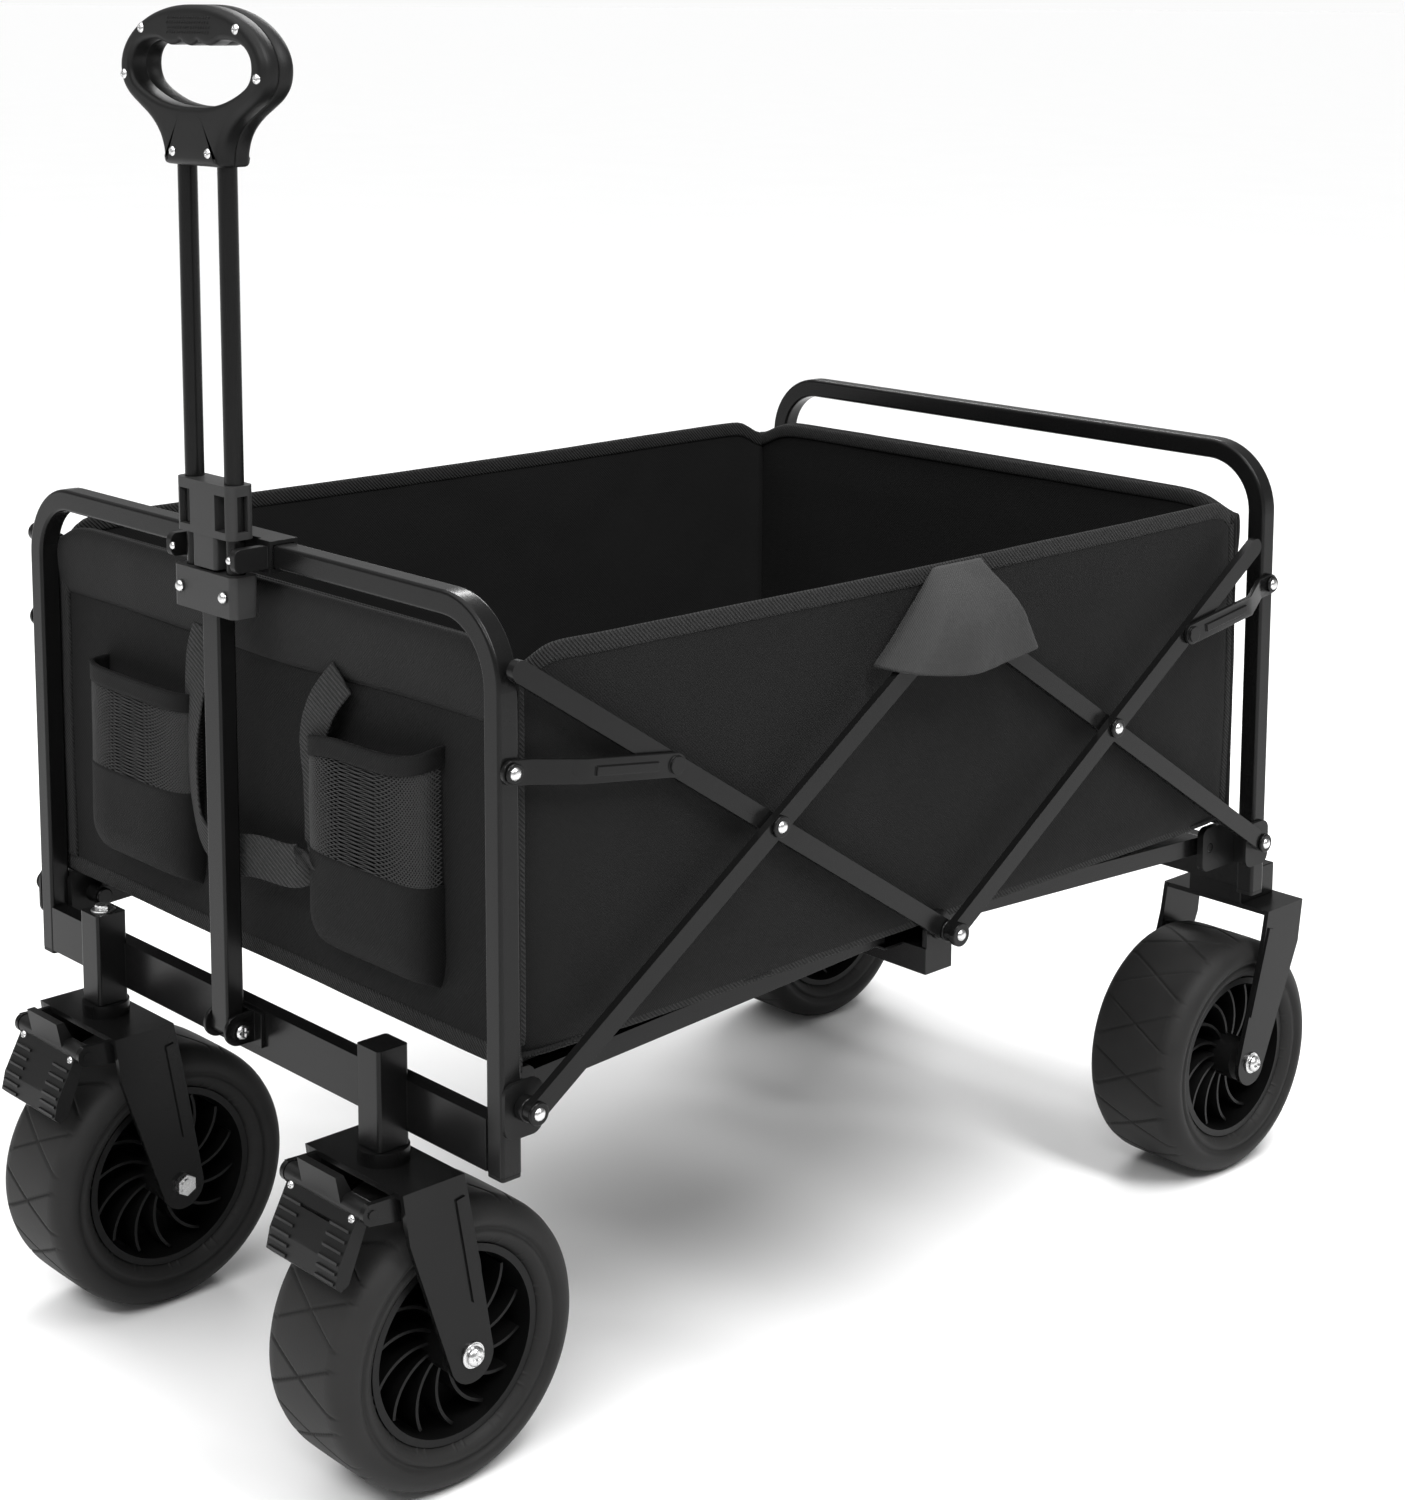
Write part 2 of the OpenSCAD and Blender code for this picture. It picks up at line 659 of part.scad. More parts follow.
module grip_half(s) {
  y0 = s < 0 ? grip_y : grip_y + 13;
  put() difference() {
    translate([0, y0, 0]) rotate([90, 0, 0]) linear_extrude(13) difference() {
      grip_outline();
      grip_hole();
    }
    for (q = [-1, 1])
      translate([q * twin_s / 2, twin_y, neck_z - 2]) cylinder(r = twin_r, h = 6, $fn = 64);
    translate([0, twin_y, neck_z + 4]) rotate([90, 0, 0]) rotate_extrude(angle = 180, $fn = 64) translate([twin_s / 2, 0]) circle(r = twin_r, $fn = 64);
  }
}

module caster(s) {
  put() translate([s * stem_x, stem_y, 0]) children();
}

module wheel_at(x, y) {
  put() translate([x, y, wheel_r]) children();
}

color(black) put() hoop(hoop_top);  // front_hoop
front_beam();
color(plastic) put() post_caps();  // front_post_caps
color(plastic) put() corner_brackets(base_py);  // front_corner_brackets
color(steel) put() end_pivots(out0, out1, base_py);  // front_pivots
handle_bracket();
handle_clip();
front_panel();
color(cloth) put() cup_pocket(138);  // cup_pocket_right
color(cloth) put() cup_pocket(-138);  // cup_pocket_left
side_wall();  // side_wall_right
mirror([1, 0, 0]) side_wall();  // side_wall_left
floor_cloth();
color(black) bar_lower(out0, 0);  // bar_front_lower_right
color(black) mirror([1, 0, 0]) bar_lower(out0, 0);  // bar_front_lower_left
top_rivets();
color(black) bar_upper(in0);  // bar_front_upper_right
color(black) mirror([1, 0, 0]) bar_upper(in0);  // bar_front_upper_left
color(steel) cross_rivets(in0, in1, out1);  // front_cross_rivets
centre_channel();
centre_bolts();
color(black) rear_bar_upper();  // bar_rear_upper_right
color(black) mirror([1, 0, 0]) rear_bar_upper();  // bar_rear_upper_left
color(black) rear_bar_lower();  // bar_rear_lower_right
color(black) mirror([1, 0, 0]) rear_bar_lower();  // bar_rear_lower_left
rear_cross_rivets();
color(black) put() rear() hoop(rear_top);  // rear_hoop
rear_beam();
color(plastic) put() rear() post_caps();  // rear_post_caps
color(plastic) put() rear() corner_brackets(base_ry);  // rear_corner_brackets
color(steel) put() rear() end_pivots(in0, in1, base_ry);  // rear_pivots
color(black) put() translate([rear_x, rear_plate_y, 0]) rear_fork();  // rear_fork_right
color(black) put() translate([-rear_x, rear_plate_y, 0]) rear_fork();  // rear_fork_left
rear_panel();
rear_axles();
color(black) put() base_frame(base_py, 338, 2.9);  // base_frame_front
color(black) put() rear() base_frame(base_ry, 312, 3.14);  // base_frame_rear
color(black) link(in1 + 0.6);  // links_front
color(black) translate([0, span - 2 * y_shift, 0]) mirror([0, 1, 0]) link(out1 + 0.6);  // links_rear
color(black) caster(1) caster_fork();  // caster_fork_right
color(black) caster(-1) caster_fork();  // caster_fork_left
color(steel) caster(1) axle(trail);  // caster_axle_right
color(steel) mirror([1, 0, 0]) caster(1) axle(trail);  // caster_axle_left
color(plastic) caster(1) brake_pedal();  // brake_pedal_right
color(plastic) caster(-1) brake_pedal();  // brake_pedal_left
color(rubber) wheel_at(stem_x, axle_f) tyre();  // tyre_front_right
color(plastic) wheel_at(stem_x, axle_f) hub();  // hub_front_right
color(rubber) wheel_at(-stem_x, axle_f) tyre();  // tyre_front_left
color(plastic) wheel_at(-stem_x, axle_f) hub();  // hub_front_left
color(rubber) wheel_at(rear_x, axle_b) tyre();  // tyre_rear_right
color(plastic) wheel_at(rear_x, axle_b) hub();  // hub_rear_right
color(rubber) wheel_at(-rear_x, axle_b) tyre();  // tyre_rear_left
color(plastic) wheel_at(-rear_x, axle_b) hub();  // hub_rear_left
handle_stick();
handle_collar();
handle_tubes();
handle_clamp();
color(plastic) grip_half(-1);  // grip_front
color(plastic) grip_half(1);  // grip_back
handle_bolt();
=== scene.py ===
"""Looks of the folding wagon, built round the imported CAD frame."""
import json
import math
import bpy
import bmesh
import numpy as np
from mathutils import Matrix, Vector, noise


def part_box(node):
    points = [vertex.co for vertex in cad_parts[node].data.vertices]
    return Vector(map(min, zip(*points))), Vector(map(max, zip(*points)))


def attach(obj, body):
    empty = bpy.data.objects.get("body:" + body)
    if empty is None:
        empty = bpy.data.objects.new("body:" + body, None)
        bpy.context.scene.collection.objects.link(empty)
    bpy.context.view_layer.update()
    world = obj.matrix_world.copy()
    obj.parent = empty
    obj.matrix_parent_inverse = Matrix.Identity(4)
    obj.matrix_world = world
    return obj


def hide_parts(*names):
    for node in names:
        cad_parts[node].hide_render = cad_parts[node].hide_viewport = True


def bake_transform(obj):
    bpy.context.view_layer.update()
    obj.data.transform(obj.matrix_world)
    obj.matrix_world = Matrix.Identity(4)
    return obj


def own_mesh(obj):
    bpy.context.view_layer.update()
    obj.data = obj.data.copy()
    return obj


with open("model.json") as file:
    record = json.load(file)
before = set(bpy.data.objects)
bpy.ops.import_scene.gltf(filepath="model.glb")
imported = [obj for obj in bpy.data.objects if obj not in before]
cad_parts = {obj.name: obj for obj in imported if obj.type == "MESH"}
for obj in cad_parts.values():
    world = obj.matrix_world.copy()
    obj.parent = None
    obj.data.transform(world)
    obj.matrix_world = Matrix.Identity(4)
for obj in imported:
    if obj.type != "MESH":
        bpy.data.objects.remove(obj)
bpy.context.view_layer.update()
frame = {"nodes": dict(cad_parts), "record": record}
nodes = frame["nodes"]

# ---------------------------------------------------------------- places from the frame
MM = 0.001
HOOP_F, HOOP_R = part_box("front_hoop"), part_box("rear_hoop")
Y_FRONT = (HOOP_F[0].y + HOOP_F[1].y) / 2
Y_REAR = (HOOP_R[0].y + HOOP_R[1].y) / 2
SPAN = Y_REAR - Y_FRONT
HALF_W = HOOP_F[1].x
POST_IN = HALF_W - 16 * MM
Z_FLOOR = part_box("floor_cloth")[1].z
Z_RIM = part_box("side_wall_right")[1].z
X_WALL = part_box("side_wall_right")[1].x
Y_MID = (Y_FRONT + Y_REAR) / 2
WALL_0, WALL_1 = ((v.y - Y_FRONT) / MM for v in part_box("side_wall_right"))
REAR_IN = (Y_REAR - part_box("rear_panel")[1].y) - (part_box("front_panel")[0].y - Y_FRONT)


# ---------------------------------------------------------------- materials
class Tree:
    """Short calls for building a node material."""

    def __init__(self, name):
        self.mat = bpy.data.materials.new(name)
        self.mat.use_nodes = True
        self.t = self.mat.node_tree
        self.bsdf = self.t.nodes["Principled BSDF"]

    def link(self, value, socket):
        if isinstance(value, bpy.types.NodeSocket):
            self.t.links.new(value, socket)
        else:
            socket.default_value = value

    def node(self, kind, out=0, props=None, **inputs):
        n = self.t.nodes.new(kind)
        for k, v in (props or {}).items():
            setattr(n, k, v)
        for k, v in inputs.items():
            self.link(v, n.inputs[int(k[1:]) if k[0] == "i" and k[1:].isdigit() else k.replace("_", " ")])
        return n.outputs[out]

    def math(self, op, a, b=0.0, c=0.0):
        return self.node("ShaderNodeMath", props={"operation": op}, i0=a, i1=b, i2=c)

    def coords(self):
        place = self.node("ShaderNodeTexCoord", out=3)
        n = self.t.nodes.new("ShaderNodeSeparateXYZ")
        self.link(place, n.inputs[0])
        return place, n.outputs[0], n.outputs[1], n.outputs[2]

    def noise(self, place, scale, detail=3.0, rough=0.55):
        return self.node("ShaderNodeTexNoise", Vector=place, Scale=scale, Detail=detail, Roughness=rough)

    def ramp(self, value, stops):
        n = self.t.nodes.new("ShaderNodeValToRGB")
        self.link(value, n.inputs[0])
        e = n.color_ramp.elements
        while len(e) < len(stops):
            e.new(0.5)
        for el, (p, c) in zip(e, stops):
            el.position = p
            el.color = (*c, 1) if len(c) == 3 else (c[0], c[0], c[0], 1)
        return n.outputs[0]

    def bump(self, height, strength, distance, normal=None):
        n = self.t.nodes.new("ShaderNodeBump")
        n.inputs["Strength"].default_value = strength
        n.inputs["Distance"].default_value = distance
        self.link(height, n.inputs["Height"])
        if normal is not None:
            self.link(normal, n.inputs["Normal"])
        return n.outputs[0]

    def done(self, color, rough, normal=None, **fixed):
        self.link(color, self.bsdf.inputs["Base Color"])
        self.link(rough, self.bsdf.inputs["Roughness"])
        if normal is not None:
            self.link(normal, self.bsdf.inputs["Normal"])
        for k, v in fixed.items():
            self.bsdf.inputs[k.replace("_", " ")].default_value = v
        return self.mat


def grey(v, warm=0.0):
    return (v * (1 + warm), v, v * (1 - warm), 1)


def tinted(t, share, dark, light):
    n = t.t.nodes.new("ShaderNodeMix")
    n.data_type = "RGBA"
    t.link(share, n.inputs[0])
    t.link(dark, n.inputs[6])
    t.link(light, n.inputs[7])
    return n.outputs[2]


def powder_coat():
    """Satin black powder coat: fine orange peel, faint wear where edges rub."""
    t = Tree("frame_powder_coat")
    place = t.coords()[0]
    peel = t.noise(place, 900, 2)
    cloud = t.noise(place, 14, 4)
    edge = t.node("ShaderNodeNewGeometry", out=7)
    patchy = t.math("MULTIPLY", t.noise(place, 60, 3), 0.06)
    worn = t.ramp(t.math("ADD", edge, patchy), [(0.60, (0,)), (0.72, (1,))])
    base = tinted(t, cloud, grey(0.0035), grey(0.0065))
    base = tinted(t, t.math("MULTIPLY", worn, 0.06), base, grey(0.05))
    rough = t.math("MULTIPLY_ADD", cloud, 0.10, 0.20)
    return t.done(base, rough, t.bump(peel, 0.08, 0.0003), Specular_IOR_Level=0.15)


def moulded(name, dark, light, rough, scale=1400, strength=0.25):
    """Moulded plastic with a fine spark-eroded grain."""
    t = Tree(name)
    place = t.coords()[0]
    grain = t.noise(place, scale, 2)
    cloud = t.noise(place, 11, 4)
    base = tinted(t, cloud, grey(dark), grey(light))
    r = t.math("MULTIPLY_ADD", cloud, 0.16, rough - 0.06)
    return t.done(base, r, t.bump(grain, strength, 0.00035), Specular_IOR_Level=0.15)


def zinc():
    """Bright zinc-plated steel with faint turning marks."""
    t = Tree("zinc_steel")
    place = t.coords()[0]
    fine = t.noise(place, 500, 3)
    cloud = t.noise(place, 70, 3)
    base = tinted(t, cloud, grey(0.46), grey(0.72))
    return t.done(base, t.math("MULTIPLY_ADD", fine, 0.2, 0.18), t.bump(fine, 0.15, 0.0002), Metallic=1.0)


def rubber():
    """Dark tyre rubber, slightly dusty, with moulding mottle."""
    t = Tree("tyre_rubber")
    place = t.coords()[0]
    fine = t.noise(place, 700, 3)
    cloud = t.noise(place, 26, 5)
    base = tinted(t, cloud, grey(0.009), grey(0.020, 0.02))
    rough = t.math("MULTIPLY_ADD", cloud, 0.16, 0.5)
    return t.done(base, rough, t.bump(fine, 0.3, 0.0004), Specular_IOR_Level=0.16)


def woven(name, dark, light, pitch, flat=False, sheen=0.03, depth=0.0005, cloud_scale=9):
    """Plain-woven polyester: over-and-under threads in the colour and in the relief."""
    t = Tree(name)
    place, x, y, z = t.coords()
    across = x if flat else t.math("ADD", x, y)
    along = y if flat else z
    k = 2 * math.pi / pitch
    warp = t.math("SINE", t.math("MULTIPLY", across, k))
    weft = t.math("SINE", t.math("MULTIPLY", along, k))
    checks = t.math("MULTIPLY", warp, weft)
    slub = t.noise(place, 240, 3)
    cloud = t.noise(place, cloud_scale, 5)
    check_share = t.math("MULTIPLY_ADD", checks, 0.16, 0.08)
    cloud_share = t.math("MULTIPLY_ADD", cloud, 0.7, t.math("MULTIPLY", slub, 0.3))
    share = t.math("ADD", check_share, cloud_share)
    base = tinted(t, share, grey(dark), grey(light))
    height = t.math("ADD", t.math("MULTIPLY", checks, 0.5), slub)
    rough = t.math("MULTIPLY_ADD", slub, 0.12, 0.74)
    weave = t.bump(height, 0.55, depth)
    return t.done(base, rough, weave, Sheen_Weight=sheen, Sheen_Roughness=0.45, Specular_IOR_Level=0.12)


def ribbed(name, dark, light, pitch, slope=1.0, sheen=0.03, flat=False):
    """Twill webbing with slanted ribs."""
    t = Tree(name)
    place, x, y, z = t.coords()
    across = x if flat else t.math("ADD", x, y)
    along = y if flat else z
    k = 2 * math.pi / pitch
    rib = t.math("SINE", t.math("MULTIPLY", t.math("MULTIPLY_ADD", across, slope, along), k))
    cross = t.math("SINE", t.math("MULTIPLY", t.math("SUBTRACT", across, along), k * 1.9))
    slub = t.noise(place, 420, 3)
    cross_share = t.math("MULTIPLY_ADD", cross, 0.12, t.math("MULTIPLY", slub, 0.9))
    share = t.math("MULTIPLY_ADD", rib, 0.3, cross_share)
    base = tinted(t, share, grey(dark), grey(light))
    height = t.math("ADD", rib, t.math("MULTIPLY", cross, 0.4))
    rough = t.math("MULTIPLY_ADD", slub, 0.1, 0.76)
    return t.done(base, rough, t.bump(height, 0.7, 0.0006), Sheen_Weight=sheen, Specular_IOR_Level=0.12)


FRAME = powder_coat()
PLASTIC = moulded("black_plastic", 0.004, 0.008, 0.40)
HUB = moulded("hub_plastic", 0.003, 0.006, 0.34, scale=900, strength=0.2)
GRIP = moulded("grip_plastic", 0.005, 0.009, 0.44, scale=1100, strength=0.4)
COLLAR = moulded("collar_plastic", 0.022, 0.034, 0.34, scale=1200, strength=0.2)
STEEL = zinc()
RUBBER = rubber()
CLOTH = woven("oxford_cloth", 0.0034, 0.0075, 0.0024, sheen=0.015)
CLOTH_FLAT = woven("oxford_cloth_floor", 0.0042, 0.0085, 0.0024, flat=True, sheen=0.015)
MESH = woven("mesh_thread", 0.034, 0.06, 0.0012)
TAPE = ribbed("binding_tape", 0.003, 0.026, 0.0032)
BAND = woven("band_cloth", 0.007, 0.015, 0.0024, sheen=0.02)
# painted light: the hood is the basket's own oxford cloth, given a copy several times lighter to stand in for
# the light its tented surface catches
LIT_HOOD_CLOTH = woven("hood_cloth_painted_light", 0.018, 0.042, 0.0024)
WEBBING = ribbed("webbing", 0.010, 0.042, 0.0034, slope=0.5)

LOOKS = {"frame": FRAME, "rivet": STEEL, "plastic": PLASTIC, "fabric": CLOTH, "tyre": RUBBER, "hub": HUB}
SLOT_OF = {s["node"]: s["material_slot"] for s in frame["record"]["subparts"]}
BODY_OF = {n: b for b, ns in frame["record"]["behaviour"]["bodies"].items() for n in ns}
BLACK_HEADS = ("top_rivets", "front_cross_rivets", "rear_cross_rivets",
               "front_pivots", "rear_pivots", "centre_bolts")
OWN_LOOK = {"grip_front": GRIP, "grip_back": GRIP, "handle_collar": COLLAR, "handle_clamp": COLLAR,
            "handle_bolt": FRAME, **{n: FRAME for n in BLACK_HEADS}}


def paint(obj, mat):
    obj.data.materials.clear()
    obj.data.materials.append(mat)


for name, obj in nodes.items():
    paint(obj, OWN_LOOK.get(name, LOOKS[SLOT_OF[name]]))


# ---------------------------------------------------------------- mesh helpers
def H(x, y, z):
    """A point from millimetres laid out with the front hoop's plane at y = 0."""
    return Vector((x * MM, Y_FRONT + y * MM, z * MM))


def piece(name, verts, faces, mat, body, smooth=True):
    me = bpy.data.meshes.new(name)
    me.from_pydata([tuple(v) for v in verts], [], [tuple(f) for f in faces])
    me.validate()
    bm = bmesh.new()
    bm.from_mesh(me)
    bmesh.ops.recalc_face_normals(bm, faces=bm.faces)
    bm.to_mesh(me)
    bm.free()
    if smooth:
        me.shade_smooth()
    obj = bpy.data.objects.new(name, me)
    bpy.context.scene.collection.objects.link(obj)
    obj.data.materials.append(mat)
    if body:
        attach(obj, body)
    return obj


def settle(obj):
    """Applies every modifier to the mesh."""
    dg = bpy.context.evaluated_depsgraph_get()
    me = bpy.data.meshes.new_from_object(obj.evaluated_get(dg))
    obj.modifiers.clear()
    obj.data = me
    return obj


def shell(name, nu, nv, f, thick, mat, body, wrap=False):
    """A sheet f(u, v) with real thickness, offset inwards and outwards along its normals."""
    us, vs = np.linspace(0, 1, nu), np.linspace(0, 1, nv)
    p = np.array([[f(u, v) for v in vs] for u in us], float)
    du, dv = np.gradient(p, axis=0), np.gradient(p, axis=1)
    if wrap:
        du[0] = du[-1] = p[1] - p[-2]
    n = np.cross(du, dv)
    n /= np.maximum(np.linalg.norm(n, axis=2, keepdims=True), 1e-12)
    a, b = (p + n * thick / 2).reshape(-1, 3), (p - n * thick / 2).reshape(-1, 3)
    m, faces = nu * nv, []
    for i in range(nu - 1):
        for j in range(nv - 1):
            q = [i * nv + j, (i + 1) * nv + j, (i + 1) * nv + j + 1, i * nv + j + 1]
            faces.append(q)
            faces.append([m + k for k in reversed(q)])
    rim = [(i, 0) for i in range(nu)] + [(nu - 1, j) for j in range(1, nv)]
    rim += [(i, nv - 1) for i in range(nu - 2, -1, -1)] + [(0, j) for j in range(nv - 2, 0, -1)]
    ids = [i * nv + j for i, j in rim]
    for k, q in zip(ids, ids[1:] + ids[:1]):
        faces.append([q, k, m + k, m + q])
    return piece(name, np.vstack([a, b]), faces, mat, body)


def tube_along(name, path, section, mat, body, closed=False, caps=True):
    """Sweeps section(i) -> list of points (already in place) through the path's stations."""
    rings = [section(i, p) for i, p in enumerate(path)]
    k = len(rings[0])
    verts = [v for r in rings for v in r]
    faces = []
    n = len(rings)
    for i in range(n if closed else n - 1):
        for j in range(k):
            a, b = i * k + j, i * k + (j + 1) % k
            c, d = ((i + 1) % n) * k + (j + 1) % k, ((i + 1) % n) * k + j
            faces.append([a, b, c, d])
    if caps and not closed:
        faces.append(list(range(k - 1, -1, -1)))
        faces.append([(n - 1) * k + j for j in range(k)])
    return piece(name, verts, faces, mat, body)


def pill(w, t, steps=5):
    """A flat ribbon section with rounded edges, w wide and t thick."""
    pts = []
    for s, a0 in ((1, -90), (-1, 90)):
        for i in range(steps + 1):
            a = math.radians(a0 + 180 * i / steps)
            pts.append((s * (w / 2 - t / 2) + t / 2 * math.cos(a), t / 2 * math.sin(a)))
    return pts


def between(p0, p1, p2, p3, f):
    """The point a share f of the way from p1 to p2, on the smooth curve through all four."""
    square, cube = 2 * p0 - 5 * p1 + 4 * p2 - p3, 3 * p1 - p0 - 3 * p2 + p3
    return 0.5 * (2 * p1 + (p2 - p0) * f + square * f**2 + cube * f**3)


def ribbon(name, pts, wides, w, t, mat, body, n=60):
    """A flat tape through the points, with its width along the directions wides."""
    pts = np.array([list(p) for p in pts], float)
    wides = np.array([list(v) for v in wides], float)
    s = np.linspace(0, len(pts) - 1, n)

    def smooth(a):
        i = np.clip(s.astype(int), 0, len(a) - 2)
        f = (s - i)[:, None]
        p0, p1, p2, p3 = a[np.maximum(i - 1, 0)], a[i], a[i + 1], a[np.minimum(i + 2, len(a) - 1)]
        return between(p0, p1, p2, p3, f)

    line, wide = smooth(pts), smooth(wides)
    tang = np.gradient(line, axis=0)
    sec = pill(w, t)

    def ring(i, p):
        a = tang[i] / np.linalg.norm(tang[i])
        u = wide[i] - a * (wide[i] @ a)
        u = u / np.linalg.norm(u)
        v = np.cross(a, u)
        return [tuple(line[i] + u * c + v * d) for c, d in sec]

    return tube_along(name, list(range(n)), ring, mat, body)


def softened(node, width, segments=3, angle=35):
    """The CAD node's own shape with its sharp edges rounded, standing in for it."""
    src = nodes[node]
    me = src.data.copy()
    bm = bmesh.new()
    bm.from_mesh(me)
    bmesh.ops.remove_doubles(bm, verts=bm.verts, dist=2e-6)
    bmesh.ops.dissolve_limit(bm, angle_limit=math.radians(0.6), verts=bm.verts, edges=bm.edges)
    bm.to_mesh(me)
    bm.free()
    obj = bpy.data.objects.new(node + "_skin", me)
    bpy.context.scene.collection.objects.link(obj)
    bev = obj.modifiers.new("edges", "BEVEL")
    bev.width, bev.segments, bev.limit_method = width, segments, "ANGLE"
    bev.angle_limit, bev.use_clamp_overlap, bev.harden_normals = math.radians(angle), True, False
    bev.miter_outer = "MITER_ARC"
    settle(obj)
    obj.data.shade_smooth()
    obj.data.set_sharp_from_angle(angle=math.radians(48))
    even = obj.modifiers.new("normals", "WEIGHTED_NORMAL")
    even.keep_sharp, even.weight = True, 100
    settle(obj)
    paint(obj, OWN_LOOK.get(node, LOOKS[SLOT_OF[node]]))
    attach(obj, BODY_OF[node])
    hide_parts(node)
    return obj


def bolt_head(name, at, r, tall, body, mat=STEEL):
    """A hexagon head with a chamfered top on a round washer, standing upright."""
    sides = 36
    prof = [(1.45, 0, 0), (1.45, 0.9, 0), (1.38, 1.2, 0), (0.98, 1.2, 1), (1.0, 1.6, 1),
            (1.0, 0.86 * tall / MM, 1), (0.86, tall / MM, 0), (0.4, tall / MM, 0)]
    verts, faces = [], []
    for k, z, hexed in prof:
        for j in range(sides):
            a = 2 * math.pi * j / sides
            flat = math.cos(math.pi / 6) / math.cos((a % (math.pi / 3)) - math.pi / 6) if hexed else 1.0
            rr = r * k * flat
            verts.append((at[0] + rr * math.cos(a), at[1] + rr * math.sin(a), at[2] + z * MM))
    for i in range(len(prof) - 1):
        for j in range(sides):
            j2 = (j + 1) % sides
            faces.append([i * sides + j, i * sides + j2, (i + 1) * sides + j2, (i + 1) * sides + j])
    faces += [list(range(sides))[::-1], [(len(prof) - 1) * sides + j for j in range(sides)]]
    obj = piece(name, verts, faces, mat, body)
    obj.data.set_sharp_from_angle(angle=math.radians(30))
    return obj


def screw(name, at, axis, r, rise, body, mat=STEEL, recess=True, rings=9, spokes=40):
    """A domed screw head with a cross recess, seated at a point and facing along axis."""
    q = Vector(axis).to_track_quat("Z", "Y").to_matrix()
    verts = [q @ Vector((0, 0, rise * (0.45 if recess else 1.0))) + Vector(at)]
    for i in range(1, rings + 1):
        rr = r * i / rings
        for j in range(spokes):
            a = 2 * math.pi * j / spokes
            x, y = rr * math.cos(a), rr * math.sin(a)
            z = rise * (1 - (i / rings) ** 3.2)
            if recess and (min(abs(x), abs(y)) < 0.14 * r and max(abs(x), abs(y)) < 0.56 * r):
                z -= rise * 0.55
            verts.append(q @ Vector((x, y, z)) + Vector(at))
    base = len(verts)
    for j in range(spokes):
        a = 2 * math.pi * j / spokes
        verts.append(q @ Vector((r * math.cos(a), r * math.sin(a), -0.8 * MM)) + Vector(at))
    faces = [[0, 1 + j, 1 + (j + 1) % spokes] for j in range(spokes)]
    for i in range(rings):
        for j in range(spokes):
            a, b = 1 + i * spokes + j, 1 + i * spokes + (j + 1) % spokes
            faces.append([a, a + spokes, b + spokes, b])
    faces.append(list(range(base, base + spokes))[::-1])
    return piece(name, verts, faces, mat, body)


# ---------------------------------------------------------------- metal and plastic
for n in ("bar_front_lower", "bar_front_upper", "bar_rear_upper", "bar_rear_lower"):
    for side in ("right", "left"):
        softened(f"{n}_{side}", 2.7 * MM, segments=4)
for n, w in (("front_beam", 1.2), ("rear_beam", 1.2), ("centre_channel", 1.0),
             ("base_frame_front", 1.6), ("base_frame_rear", 1.6), ("links_front", 0.9), ("links_rear", 0.9),
             ("handle_bracket", 0.8), ("front_corner_brackets", 1.2), ("rear_corner_brackets", 1.2),
             ("rear_fork_right", 1.4), ("rear_fork_left", 1.4),
             ("caster_fork_right", 1.4), ("caster_fork_left", 1.4),
             ("handle_clip", 1.6), ("handle_clamp", 1.4), ("handle_collar", 1.3),
             ("brake_pedal_right", 0.9), ("brake_pedal_left", 0.9),
             ("top_rivets", 1.3), ("front_cross_rivets", 1.3), ("rear_cross_rivets", 1.3),
             ("front_pivots", 1.2), ("rear_pivots", 1.2), ("centre_bolts", 1.4),
             ("front_post_caps", 0.8), ("rear_post_caps", 0.8)):
    softened(n, w * MM)


def loop_through(half, count, centre):
    """A smooth closed outline through mirrored points, sampled at even angles round a centre."""
    pts = np.array(half + [(-x, z) for x, z in reversed(half) if x > 0], float)
    n = len(pts)
    fine = []
    for i in range(n):
        a, b, c, d = pts[i - 1], pts[i], pts[(i + 1) % n], pts[(i + 2) % n]
        for f in np.linspace(0, 1, 24, endpoint=False):
            fine.append(between(a, b, c, d, f))
    fine = np.array(fine) - centre
    ang = np.unwrap(np.arctan2(fine[:, 0], fine[:, 1]))
    r = np.hypot(fine[:, 0], fine[:, 1])
    order = np.argsort(ang % (2 * math.pi))
    th = np.linspace(0, 2 * math.pi, count, endpoint=False)
    rr = np.interp(th, (ang % (2 * math.pi))[order], r[order], period=2 * math.pi)
    return np.stack([rr * np.sin(th), rr * np.cos(th)], axis=1) + centre


def inset(loop, by):
    """Moves an outline inwards (or outwards, below zero) along its own normals."""
    t = np.roll(loop, -1, axis=0) - np.roll(loop, 1, axis=0)
    n = np.stack([-t[:, 1], t[:, 0]], axis=1) / np.maximum(np.linalg.norm(t, axis=1, keepdims=True), 1e-9)
    return loop - n * by


GRIP_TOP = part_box("grip_front")[1].z / MM
GRIP_DRAWN = 952
GRIP_RIM = [(0, 952), (20, 951.2), (40, 947.8), (57, 942.2), (70, 935), (79, 927), (84.3, 918),
            (85.3, 908.5), (82.3, 899.5), (75, 892), (64, 885.6), (53, 879.6), (44, 873), (37.5, 865.5),
            (34, 857), (33.2, 849.5), (31, 848.2), (16, 848.1), (0, 848.1)]
GRIP_HOLE = [(0, 925.6), (5, 926.6), (10, 928.6), (15, 927), (22, 925.8), (29, 927), (35, 929.2),
             (45, 929.4), (55, 928), (64, 924.5), (70, 918), (71, 910), (67.5, 903), (60, 898),
             (49, 893.4), (34, 889), (17, 886.6), (0, 886.2)]


